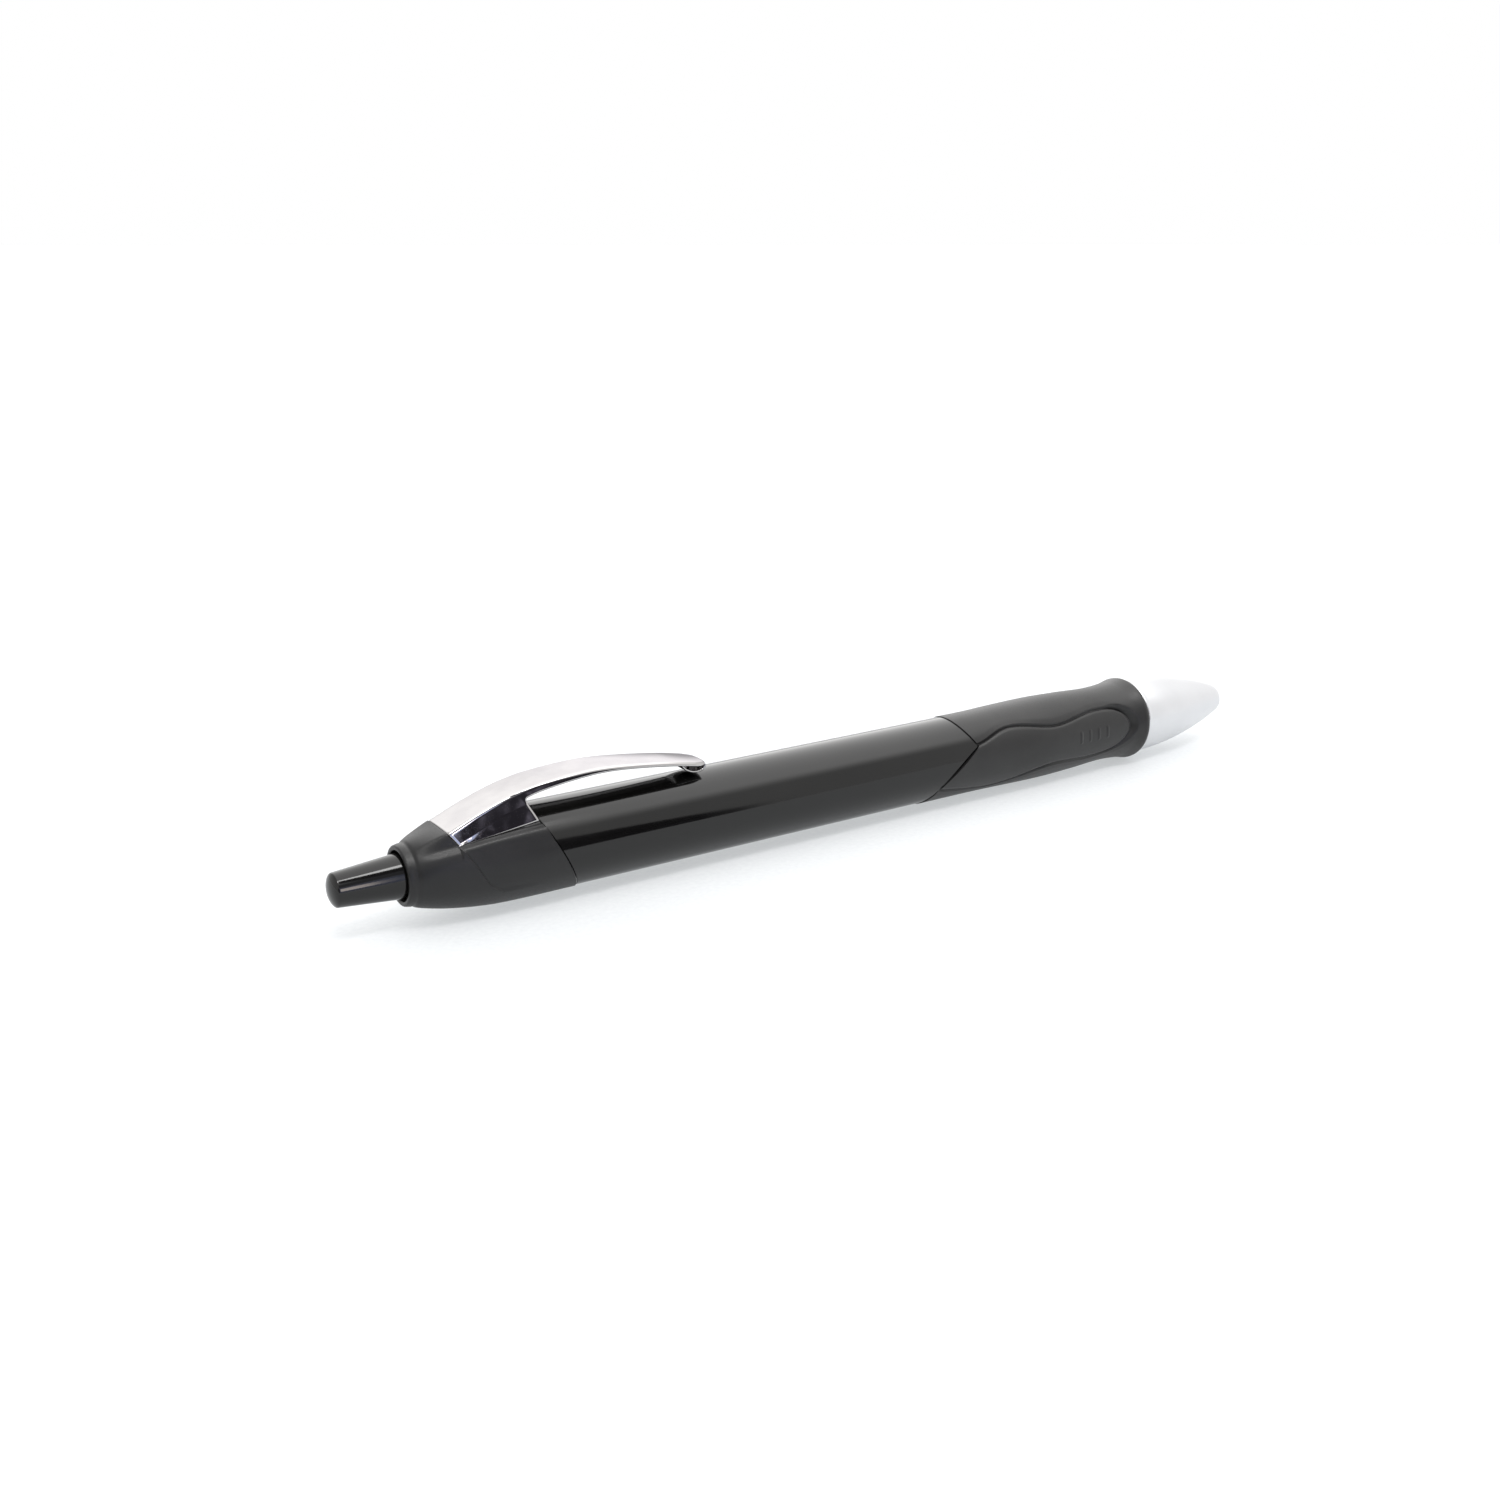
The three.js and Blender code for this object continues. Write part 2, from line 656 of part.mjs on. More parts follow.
function gripPad(side) {
  const radiusAt = (x, across, v) => {
    const outer = padRadius(x) - PAD_EDGE_ROLL * across ** 6;
    return lerp(PAD_FLOOR_RADIUS, outer, v);
  };
  const pad = padShape(side, [30, 12, 1], 0, padRearX, radiusAt);
  const ridges = [];
  for (let i = 0; i < PAD_RIDGE_COUNT; i += 1) {
    const x = PAD_RIDGE_X + i * PAD_RIDGE_PITCH;
    const outerY = side * (padRadius(x) + PAD_RIDGE_HEIGHT);
    const innerY = side * (PAD_FLOOR_RADIUS + PAD_RIDGE_HEIGHT);
    ridges.push(block(
      [x - PAD_RIDGE_WIDTH / 2, Math.min(outerY, innerY), -PAD_RIDGE_LENGTH / 2],
      [x + PAD_RIDGE_WIDTH / 2, Math.max(outerY, innerY), PAD_RIDGE_LENGTH / 2],
    ));
  }
  return joined(pad, ...ridges);
}

function noseCone() {
  return turnedRing([
    [NOSE_THREAD_REAR_X, NOSE_BORE_RADIUS],
    [NOSE_THREAD_REAR_X, NOSE_THREAD_RADIUS],
    [NOSE_BASE_X, NOSE_THREAD_RADIUS],
    ...sampled(noseRadius, NOSE_BASE_X, NOSE_SHOULDER_X, 12),
    [FRONT_X - NOSE_TIP_EDGE * 2, NOSE_TIP_RADIUS + NOSE_TIP_EDGE],
    [FRONT_X - NOSE_TIP_EDGE / 3, NOSE_TIP_RADIUS + NOSE_TIP_EDGE / 3],
    [FRONT_X, NOSE_TIP_RADIUS],
    [FRONT_X, POINT_BORE_RADIUS],
    [NOSE_SPRING_SEAT_X + 1, POINT_BORE_RADIUS],
    [NOSE_SPRING_SEAT_X, NOSE_BORE_RADIUS],
  ]);
}

function threadBush() {
  return turnedRing([
    [BUSH_REAR_X, BUSH_BORE_RADIUS],
    [BUSH_REAR_X, BUSH_RADIUS],
    [CORE_END_X - FIT_GAP, BUSH_RADIUS],
    [CORE_END_X - FIT_GAP, BUSH_BORE_RADIUS],
  ]);
}

// ---- Click mechanism ----

// Saw teeth round a rim: points that stand at rimX are drawn back by the tooth's height.
function toothed(geometry, rimX) {
  const position = geometry.attributes.position;
  for (let i = 0; i < position.count; i += 1) {
    if (Math.abs(position.getX(i) - rimX) < 1e-3) {
      const turns = Math.atan2(position.getY(i), position.getZ(i)) / (2 * Math.PI) + 1;
      const tooth = (turns * CAM_TEETH) % 1;
      position.setX(i, rimX - CAM_TOOTH_HEIGHT * tooth);
    }
  }
  return geometry;
}

// Straight bars along the pen, evenly spaced round the axis.
function bars(count, firstAngle, width, innerRadius, outerRadius, rearX, frontX) {
  const found = [];
  for (let i = 0; i < count; i += 1) {
    const bar = block([rearX, -width / 2, innerRadius], [frontX, width / 2, outerRadius]);
    bar.rotateX(firstAngle + i * 2 * Math.PI / count);
    found.push(bar);
  }
  return found;
}

function buttonCrown() {
  const bore = STEM_RADIUS + FIT_GAP;
  const body = turnedRing([
    [CROWN_REAR_X, bore],
    [CROWN_REAR_X, CROWN_RADIUS],
    [CROWN_FRONT_X, CROWN_RADIUS],
    [CROWN_FRONT_X, bore],
  ], CAM_STEPS);
  return toothed(body, CROWN_FRONT_X);
}

function camRotor() {
  const body = turned([
    [ROTOR_REAR_X + 1, 0],
    [ROTOR_REAR_X + 1, REFILL_RADIUS],
    [ROTOR_REAR_X, REFILL_RADIUS],
    [ROTOR_REAR_X, ROTOR_RADIUS],
    [ROTOR_FRONT_X, ROTOR_RADIUS],
    [ROTOR_FRONT_X, ROTOR_CUP_RADIUS],
    [ROTOR_WEB_X, ROTOR_CUP_RADIUS],
    [ROTOR_WEB_X, 0],
  ], CAM_STEPS);
  const finRoot = ROTOR_RADIUS * 0.9;
  const finFront = FIN_REAR_X + FIN_LENGTH;
  const fins = bars(FIN_COUNT, 0, FIN_WIDTH, finRoot, FIN_RADIUS, FIN_REAR_X, finFront);
  return joined(toothed(body, ROTOR_REAR_X), ...fins);
}

function camGuide() {
  const flangeEnd = GUIDE_REAR_X + GUIDE_FLANGE_LENGTH;
  const body = turnedRing([
    [GUIDE_REAR_X, GUIDE_BORE_RADIUS],
    [GUIDE_REAR_X, GUIDE_FLANGE_RADIUS],
    [flangeEnd, GUIDE_FLANGE_RADIUS],
    [flangeEnd, GUIDE_RADIUS],
    [GUIDE_FRONT_X, GUIDE_RADIUS],
    [GUIDE_FRONT_X, GUIDE_BORE_RADIUS],
  ]);
  const ribs = bars(
    FIN_COUNT,
    Math.PI / FIN_COUNT,
    GUIDE_RIB_WIDTH,
    GUIDE_RIB_RADIUS,
    (GUIDE_BORE_RADIUS + GUIDE_RADIUS) / 2,
    GUIDE_RIB_REAR_X,
    GUIDE_RIB_FRONT_X,
  );
  return joined(body, ...ribs);
}

// ---- Refill and spring ----

function refillTube() {
  return turnedRing([
    [REFILL_REAR_X, REFILL_BORE_RADIUS],
    [REFILL_REAR_X, REFILL_RADIUS],
    [REFILL_FRONT_X, REFILL_RADIUS],
    [REFILL_FRONT_X, REFILL_BORE_RADIUS],
  ], REFILL_STEPS);
}

function refillTail() {
  const headEnd = REFILL_REAR_X - FIT_GAP;
  const plugEnd = headEnd + 3;
  return turned([
    [TAIL_REAR_X, 0],
    [TAIL_REAR_X, TAIL_RADIUS],
    [headEnd, TAIL_RADIUS],
    [headEnd, PLUG_RADIUS],
    [plugEnd, PLUG_RADIUS],
    [plugEnd, 0],
  ], REFILL_STEPS);
}

function refillInk() {
  return turned([
    [INK_REAR_X, 0],
    [INK_REAR_X, PLUG_RADIUS],
    [INK_FRONT_X, PLUG_RADIUS],
    [INK_FRONT_X, 0],
  ], REFILL_STEPS);
}

function refillCollar() {
  const channel = 0.4;
  const socket = POINT_TAIL_RADIUS + 0.1;
  const socketX = POINT_TAIL_X - 0.3;
  const seatEnd = COLLAR_SEAT_X + COLLAR_SEAT_LENGTH;
  return turnedRing([
    [COLLAR_REAR_X, channel],
    [COLLAR_REAR_X, PLUG_RADIUS],
    [COLLAR_SEAT_X, PLUG_RADIUS],
    [COLLAR_SEAT_X, COLLAR_SEAT_RADIUS],
    [seatEnd, COLLAR_SEAT_RADIUS],
    [seatEnd, COLLAR_RADIUS],
    [COLLAR_FRONT_X, COLLAR_RADIUS],
    [COLLAR_FRONT_X, socket],
    [socketX, socket],
    [socketX, channel],
  ], REFILL_STEPS);
}

function refillPoint() {
  const bodyX = COLLAR_FRONT_X + 0.3;
  const socketX = POINT_FRONT_X - 0.45;
  return turned([
    [POINT_TAIL_X, 0],
    [POINT_TAIL_X, POINT_TAIL_RADIUS],
    [bodyX, POINT_TAIL_RADIUS],
    [bodyX, POINT_RADIUS],
    [POINT_SHOULDER_X, POINT_RADIUS],
    [POINT_FRONT_X, BALL_SOCKET_RADIUS + 0.1],
    [POINT_FRONT_X, BALL_SOCKET_RADIUS],
    [socketX, BALL_SOCKET_RADIUS],
    [socketX, 0],
  ], REFILL_STEPS);
}

function writingBall() {
  const geometry = new THREE.SphereGeometry(BALL_RADIUS, 16, 10);
  geometry.translate(POINT_FRONT_X + 0.05, 0, 0);
  return facingOut(geometry);
}

class Helix extends THREE.Curve {
  getPoint(t, target = new THREE.Vector3()) {
    const angle = 2 * Math.PI * SPRING_TURNS * t;
    const rearX = SPRING_REAR_X + SPRING_WIRE_RADIUS;
    const frontX = SPRING_FRONT_X - SPRING_WIRE_RADIUS;
    const y = SPRING_COIL_RADIUS * Math.sin(angle);
    const z = SPRING_COIL_RADIUS * Math.cos(angle);
    return target.set(lerp(rearX, frontX, t), y, z);
  }
}

function returnSpring() {
  const wire = new THREE.Shape();
  wire.absarc(0, 0, SPRING_WIRE_RADIUS, 0, 2 * Math.PI, false);
  const geometry = new THREE.ExtrudeGeometry(wire, {
    extrudePath: new Helix(),
    steps: SPRING_TURNS * SPRING_TURN_STEPS,
    curveSegments: 4,
  });
  return facingOut(geometry);
}

// ---- The pen ----

addPiece('push_button', pushButton(), GLOSS_BLACK);
addPiece('button_crown', buttonCrown(), WHITE_PLASTIC);
addPiece('cam_rotor', camRotor(), WHITE_PLASTIC);
addPiece('cam_guide', camGuide(), WHITE_PLASTIC);
addPiece('rear_cap', rearCap(), SATIN_BLACK);
addPiece('clip', clip(), CHROME);
addPiece('barrel', barrel(), GLOSS_BLACK);
addPiece('grip_core', gripCore(), CORE_PLASTIC);
addPiece('grip_sleeve', gripSleeve(), GRIP_RUBBER);
addPiece('grip_pad_left', gripPad(1), PAD_RUBBER);
addPiece('grip_pad_right', gripPad(-1), PAD_RUBBER);
addPiece('nose_cone', noseCone(), SATIN_SILVER);
addPiece('thread_bush', threadBush(), BRASS);
addPiece('return_spring', returnSpring(), SPRING_STEEL);
addPiece('refill_tail', refillTail(), WHITE_PLASTIC);
addPiece('refill_tube', refillTube(), CLEAR_PLASTIC);
addPiece('refill_ink', refillInk(), BLACK_INK);
addPiece('refill_collar', refillCollar(), WHITE_PLASTIC);
addPiece('refill_point', refillPoint(), BRASS);
addPiece('writing_ball', writingBall(), CARBIDE);

export default group;
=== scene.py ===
"""A retractable ballpoint pen on a pale table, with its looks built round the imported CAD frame.

Shapes are worked out in millimetres from the pen's axis and turned to metres as each mesh is made.
"""
import math

import bmesh
import bpy
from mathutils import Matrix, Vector


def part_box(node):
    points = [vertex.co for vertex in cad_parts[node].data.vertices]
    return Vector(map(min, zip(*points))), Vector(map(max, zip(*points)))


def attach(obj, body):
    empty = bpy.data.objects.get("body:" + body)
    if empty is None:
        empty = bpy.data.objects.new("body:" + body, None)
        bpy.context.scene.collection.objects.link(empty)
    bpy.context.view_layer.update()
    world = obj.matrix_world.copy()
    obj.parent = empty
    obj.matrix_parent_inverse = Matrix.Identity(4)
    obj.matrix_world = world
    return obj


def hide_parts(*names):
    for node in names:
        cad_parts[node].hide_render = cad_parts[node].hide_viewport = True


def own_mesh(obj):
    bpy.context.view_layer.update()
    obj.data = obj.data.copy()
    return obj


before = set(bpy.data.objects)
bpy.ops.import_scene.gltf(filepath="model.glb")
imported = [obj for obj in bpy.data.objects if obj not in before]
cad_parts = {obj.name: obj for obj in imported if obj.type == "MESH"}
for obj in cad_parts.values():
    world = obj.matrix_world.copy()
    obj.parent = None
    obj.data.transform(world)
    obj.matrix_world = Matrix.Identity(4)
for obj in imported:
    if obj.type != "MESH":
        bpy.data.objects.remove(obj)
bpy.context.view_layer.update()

# ---- Places taken from the frame, in millimetres ----

MM = 0.001


def node_box(node):
    """Lowest and highest corner of a CAD node, in millimetres."""
    low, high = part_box(node)
    return [value / MM for value in low], [value / MM for value in high]


BARREL_LOW, BARREL_HIGH = node_box("barrel")
AXIS_Z = (BARREL_LOW[2] + BARREL_HIGH[2]) / 2
REAR_X = node_box("push_button")[0][0]
STEM_END_X = node_box("push_button")[1][0]
CAP_REAR_X = node_box("rear_cap")[0][0]
SPIGOT_REAR_X = BARREL_LOW[0]
FRONT_X = node_box("nose_cone")[1][0]
GRIP_FRONT_X = node_box("grip_sleeve")[1][0]
CLIP_REAR_X = node_box("clip")[0][0]
CLIP_TIP_X = node_box("clip")[1][0]
SPRING_REAR_X = node_box("return_spring")[0][0]
SPRING_FRONT_X = node_box("return_spring")[1][0]
PAD_REACH = 0.25  # how much further forward the pads reach here than in the CAD
PAD_FRONT_X = node_box("grip_pad_left")[1][0] + PAD_REACH

# ---- Sizes, in millimetres and degrees ----

BARREL_RADIUS = 5.5
LIP_RADIUS = 6.0
LIP_X = GRIP_FRONT_X - 0.6
SEAM_GAP = 0.11

CAP_SEAM_X = -45.2
CAP_SEAM_TILT = 2.8
CAP_SEAM_REACH = 8.0
CAP_HOLE_RADIUS = 2.95
CAP_LIP_RADIUS = 3.6
CAP_LIP_X = CAP_REAR_X + 0.6

GRIP_SEAM_X = 9.9
GRIP_SEAM_TOP = 6.0
GRIP_SEAM_POINT = 8.1
GRIP_SEAM_REACH = 14.0
GRIP_POINT_ANGLE = 64.0
GRIP_BORE_RADIUS = 4.55

PAD_FLOOR_RADIUS = 5.07
PAD_FRONT_ROUNDING = 4.0

NOSE_REAR_X = 50.9
NOSE_TIP_BORE_RADIUS = 1.35
NOSE_BORE_RADIUS = 2.6

SHEET = 0.32
TROUGH_SHEET = 0.26
CLIP_REAR_HALF_WIDTH = 2.9
CLIP_TIP_HALF_WIDTH = 2.45
CLIP_CROWN = 0.06
CLIP_FOLD_RADIUS = 0.42
CLIP_FOLD_RISE = 0.15
PLATE_TOP_FRONT_X = -49.7
PLATE_BOTTOM_REAR_X = -57.45
PLATE_BOTTOM_FRONT_X = -47.65
PLATE_BOTTOM_REAR_Z = 3.4
PLATE_BOTTOM_FRONT_Z = 4.5
ROOT_LEAN = math.radians(17)
ARM_LEAN = math.radians(11)

# ---- Curves ----


def lerp(a, b, t):
    """The value a fraction t of the way from a to b."""
    return a + (b - a) * t


def clamp(value, low=0.0, high=1.0):
    return min(max(value, low), high)


def smooth(low, high, value):
    """0 below low, 1 above high, smooth between; falls the same way where low is the larger."""
    t = clamp((value - low) / (high - low))
    return t * t * (3 - 2 * t)


def through(*stations):
    """A smooth function of x that passes through the stations (x, value)."""
    count = len(stations)
    xs = [x for x, _ in stations]
    values = [value for _, value in stations]
    slopes = []
    for i in range(count):
        before, after = max(i - 1, 0), min(i + 1, count - 1)
        slopes.append((values[after] - values[before]) / (xs[after] - xs[before]))

    def value_at(x):
        i = 0
        while i < count - 2 and x > xs[i + 1]:
            i += 1
        span = xs[i + 1] - xs[i]
        t = clamp((x - xs[i]) / span)
        stay, move = (1 + 2 * t) * (1 - t) ** 2, t * t * (3 - 2 * t)
        lead, trail = t * (1 - t) ** 2, t * t * (t - 1)
        bend = span * (lead * slopes[i] + trail * slopes[i + 1])
        return stay * values[i] + move * values[i + 1] + bend

    return value_at


cap_radius = through(
    (CAP_LIP_X, CAP_LIP_RADIUS), (-61.4, 4.15), (-58.5, 4.82),
    (-55, 5.33), (-51.5, 5.58), (CAP_SEAM_X, 5.62)
)
grip_radius = through(
    (GRIP_SEAM_X, 5.6), (20, 5.63), (31.5, 5.83), (38, 5.68), (44, 5.42), (48, 5.62), (LIP_X, LIP_RADIUS)
)
nose_radius = through(
    (NOSE_REAR_X, BARREL_RADIUS), (54.5, 5.36), (58.5, 4.93), (62.5, 4.22), (66.5, 3.25), (69.2, 2.4)
)
pad_radius = through((10, 5.62), (20, 5.66), (31, 5.8), (40, 5.5), (PAD_FRONT_X, 5.25))
pad_upper_angle = through((10, 66), (18, 63), (24, 47.5), (32.5, 60), (40.5, 49), (47, 53))
pad_lower_angle = through((10, 116), (17, 131), (21.5, 137), (31.5, 116), (40.5, 122.5), (47, 114))
clip_edge_z = through(
    (CLIP_REAR_X, 4.75), (-54.7, 6.3), (-50.7, 7.65), (-46.6, 8.45),
    (-40.3, 8.84), (-36, 8.62), (-29, 7.72), (CLIP_TIP_X, 6.75)
)


def fade_from(seam_x, reach, x):
    """How much of a seam's shape is felt at x."""
    return max(0.0, 1 - abs(x - seam_x) / reach)


def cap_seam_shift(x, angle):
    """How far the cap's tilted seam pushes the point along the pen."""
    return -CAP_SEAM_TILT * math.cos(math.radians(angle)) * fade_from(CAP_SEAM_X, CAP_SEAM_REACH, x)


def grip_seam_forward(angle):
    """How far ahead of its lowest point the grip's seam stands, at an angle from the top."""
    sweep_power = 2.6
    if angle < GRIP_POINT_ANGLE:
        return lerp(GRIP_SEAM_TOP, GRIP_SEAM_POINT, (angle / GRIP_POINT_ANGLE) ** 2)
    beyond = (angle - GRIP_POINT_ANGLE) / (180 - GRIP_POINT_ANGLE)
    return GRIP_SEAM_POINT * (1 - beyond) ** sweep_power


def grip_seam_shift(x, angle):
    """How far the grip's pointed seam pushes the point along the pen."""
    return grip_seam_forward(angle) * fade_from(GRIP_SEAM_X, GRIP_SEAM_REACH, x)


clip_flange_depth = through(
    (PLATE_TOP_FRONT_X, 0.75), (-45, 0.57), (-40, 0.38), (-35, 0.24), (CLIP_TIP_X, 0.2)
)
crease_x = through((48, -57.7), (76, -56.2), (91, -55.5), (106, -54.6), (118, -53.2))


def plate_edge_angle(x):
    """Angle from the top of the lower edge of the clip's side plate, as it lies on the cap."""
    rear_angle, front_angle, furthest = 42, 39.5, 1.2
    along = (x - PLATE_BOTTOM_REAR_X) / (PLATE_BOTTOM_FRONT_X - PLATE_BOTTOM_REAR_X)
    return lerp(rear_angle, front_angle, clamp(along, 0, furthest))


def clip_half_width(x):
    """Half the arm's width, which tapers forward and draws in at the tip's corners."""
    corner_length, corner_share = 1.6, 0.25
    along = (x - CLIP_REAR_X) / (CLIP_TIP_X - CLIP_REAR_X)
    into_corner = max(0.0, (x - CLIP_TIP_X) / corner_length + 1)
    return lerp(CLIP_REAR_HALF_WIDTH, CLIP_TIP_HALF_WIDTH, along) * (1 - corner_share * into_corner ** 2)


# ---- Outlines ----


def filleted(points, radius, steps=4):
    """The open outline with an arc of the given radius, or as much as fits, in place of each corner."""
    most_of_a_side = 0.45
    rounded = [points[0]]
    for before, corner, after in zip(points, points[1:], points[2:]):
        here, back, ahead = Vector(corner), Vector(before), Vector(after)
        shorter_side = min((back - here).length, (ahead - here).length)
        reach = min(radius, shorter_side * most_of_a_side)
        start = here + (back - here).normalized() * reach
        end = here + (ahead - here).normalized() * reach
        for i in range(steps + 1):
            t = i / steps
            point = start * (1 - t) ** 2 + here * 2 * t * (1 - t) + end * t * t
            rounded.append((point.x, point.y))
    rounded.append(points[-1])
    return rounded


def sampled(radius_at, start, end, steps):
    """Outline points at even steps along a curve."""
    places = [lerp(start, end, i / steps) for i in range(steps + 1)]
    return [(x, radius_at(x)) for x in places]


# ---- Meshes ----


def from_top(angle):
    """An angle round the pen, in degrees, folded to 0 at the top and 180 underneath."""
    turned = angle % 360
    return min(turned, 360 - turned)


def on_pen(x, radius, angle):
    """The point at x, radius and angle about the pen's axis, in metres; 90 degrees is the right-hand side."""
    a = math.radians(angle)
    return Vector((x, -radius * math.sin(a), AXIS_Z + radius * math.cos(a))) * MM


def finish_piece(name, mesh_data, body, nodes, looks, slot_name, sharp=30):
    """Makes the bmesh an object that rides on a body, stands for its CAD nodes and wears its slot's look.

    Edges that turn by more than the sharp angle, in degrees, stay crisp.
    """
    mesh = bpy.data.meshes.new(name)
    bmesh.ops.recalc_face_normals(mesh_data, faces=mesh_data.faces)
    mesh_data.to_mesh(mesh)
    mesh_data.free()
    for polygon in mesh.polygons:
        polygon.use_smooth = True
    mesh.set_sharp_from_angle(angle=math.radians(sharp))
    piece = bpy.data.objects.new(name, mesh)
    bpy.context.scene.collection.objects.link(piece)
    mesh.materials.append(looks[slot_name])
    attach(piece, body)
    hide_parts(*nodes)
    return piece


def add_grid(mesh_data, rows, wrap_rows=False, wrap_columns=False):
    """Adds rows of points as a skin of quads, closed along the rows or across them where asked."""
    grid = [[mesh_data.verts.new(point) for point in row] for row in rows]
    row_count, column_count = len(grid), len(grid[0])
    for i in range(row_count if wrap_rows else row_count - 1):
        for j in range(column_count if wrap_columns else column_count - 1):
            right, below = (j + 1) % column_count, (i + 1) % row_count
            mesh_data.faces.new((grid[i][j], grid[i][right], grid[below][right], grid[below][j]))
    return grid


def turned(outline, steps=128, shift=None, relief=None, closed=True):
    """A solid of revolution about the pen's axis from (x, radius) points.

    shift(x, angle) slides points along the pen and relief(x, angle, radius) lifts them off it.
    An outline that isn't closed starts and ends on the axis.
    """
    mesh_data = bmesh.new()
    body = outline if closed else outline[1:-1]
    rows = []
    for x, radius in body:
        row = []
        for j in range(steps):
            angle = 360 * j / steps
            side_angle = from_top(angle)
            moved_x = x + (shift(x, side_angle) if shift else 0)
            moved_radius = radius + (relief(moved_x, side_angle, radius) if relief else 0)
            row.append(on_pen(moved_x, moved_radius, angle))
        rows.append(row)
    grid = add_grid(mesh_data, rows, wrap_rows=closed, wrap_columns=True)
    if not closed:
        for row, (x, _) in ((grid[0], outline[0]), (grid[-1], outline[-1])):
            centre = mesh_data.verts.new(on_pen(x, 0, 0))
            for j in range(steps):
                mesh_data.faces.new((centre, row[j], row[(j + 1) % steps]))
    return mesh_data


# ---- Materials ----


class Recipe:
    """A new material's nodes, with short ways to add and join them."""

    # Noise seldom leaves this range, so it is what gets stretched over a recipe's whole effect.
    NOISE_LOW = 0.3
    NOISE_HIGH = 0.7

    def __init__(self, name):
        self.material = bpy.data.materials.new(name)
        self.material.use_nodes = True
        self.tree = self.material.node_tree
        self.shader = self.tree.nodes["Principled BSDF"]
        self.place = self.add("ShaderNodeTexCoord").outputs["Object"]

    def add(self, kind):
        return self.tree.nodes.new(kind)

    def join(self, source, target):
        self.tree.links.new(source, target)

    def noise(self, scale_per_mm, detail=4.0, stretch=(1, 1, 1)):
        """Noise with the given number of features per millimetre."""
        mapping = self.add("ShaderNodeMapping")
        mapping.inputs["Scale"].default_value = stretch
        self.join(self.place, mapping.inputs["Vector"])
        noise = self.add("ShaderNodeTexNoise")
        noise.inputs["Scale"].default_value = scale_per_mm / MM
        noise.inputs["Detail"].default_value = detail
        self.join(mapping.outputs["Vector"], noise.inputs["Vector"])
        return noise.outputs["Fac"]

    def ranged(self, source, low, high):
        """The noise stretched to run from low to high."""
        ramp = self.add("ShaderNodeMapRange")
        ramp.inputs["From Min"].default_value = self.NOISE_LOW
        ramp.inputs["From Max"].default_value = self.NOISE_HIGH
        ramp.inputs["To Min"].default_value = low
        ramp.inputs["To Max"].default_value = high
        self.join(source, ramp.inputs["Value"])
        return ramp.outputs["Result"]

    def colours(self, source, dark, light):
        """A colour that runs from dark to light with the noise."""
        ramp = self.add("ShaderNodeValToRGB")
        stops = ((self.NOISE_LOW, dark), (self.NOISE_HIGH, light))
        for element, (position, colour) in zip(ramp.color_ramp.elements, stops):
            element.position = position
            element.color = (*colour, 1)
        self.join(source, ramp.inputs["Fac"])
        return ramp.outputs["Color"]

    def bump(self, source, height_mm, strength):
        """Lets the source raise the surface by up to the height."""
        bump = self.add("ShaderNodeBump")
        bump.inputs["Strength"].default_value = strength
        bump.inputs["Distance"].default_value = height_mm * MM
        self.join(source, bump.inputs["Height"])
        self.join(bump.outputs["Normal"], self.shader.inputs["Normal"])

    def paint(self, colour, roughness=None, **values):
        """Joins colour and roughness to the shader, sets its other inputs and returns the material."""
        self.join(colour, self.shader.inputs["Base Color"])
        if roughness is not None:
            self.join(roughness, self.shader.inputs["Roughness"])
        for socket, value in values.items():
            self.shader.inputs[socket.replace("_", " ")].default_value = value
        return self.material


def gloss_black():
    """Polished black moulding: deep, with faint handling haze."""
    recipe = Recipe("gloss_black_plastic")
    haze = recipe.noise(0.12, detail=3)
    recipe.bump(recipe.noise(0.5, detail=2), height_mm=0.002, strength=0.5)
    return recipe.paint(
        recipe.colours(haze, (0.0026, 0.0025, 0.0024), (0.0042, 0.0041, 0.0039)),
        recipe.ranged(haze, 0.05, 0.1),
        Specular_IOR_Level=0.43,
    )


def satin_black():
    """Black moulding with a fine spark-eroded grain."""
    recipe = Recipe("satin_black_plastic")
    grain = recipe.noise(6, detail=3)
    recipe.bump(grain, height_mm=0.008, strength=0.6)
    return recipe.paint(
        recipe.colours(recipe.noise(0.2), (0.0042, 0.0041, 0.0044), (0.0065, 0.0064, 0.0068)),
        recipe.ranged(grain, 0.36, 0.48),
        Specular_IOR_Level=0.43,
    )


def rubber(name, grain_per_mm, roughness):
    """Matt soft rubber with a dry, powdery surface."""
    recipe = Recipe(name)
    grain = recipe.noise(grain_per_mm, detail=5)
    recipe.bump(grain, height_mm=0.015, strength=0.5)
    return recipe.paint(
        recipe.colours(recipe.noise(0.3), (0.0088, 0.0086, 0.0085), (0.013, 0.0127, 0.0124)),
        recipe.ranged(grain, roughness - 0.05, roughness + 0.05),
        Specular_IOR_Level=0.43,
    )


def chrome():
    """Bright plating on stamped sheet, with faint waves left by the press."""
    recipe = Recipe("chrome_plate")
    waves = recipe.noise(0.35, detail=2)
    recipe.bump(waves, height_mm=0.003, strength=0.4)
    return recipe.paint(
        recipe.colours(waves, (0.42, 0.41, 0.41), (0.47, 0.46, 0.455)),
        recipe.ranged(recipe.noise(1.5), 0.03, 0.08),
        Metallic=1.0,
        Specular_Tint=(0.55, 0.54, 0.56, 1),
    )


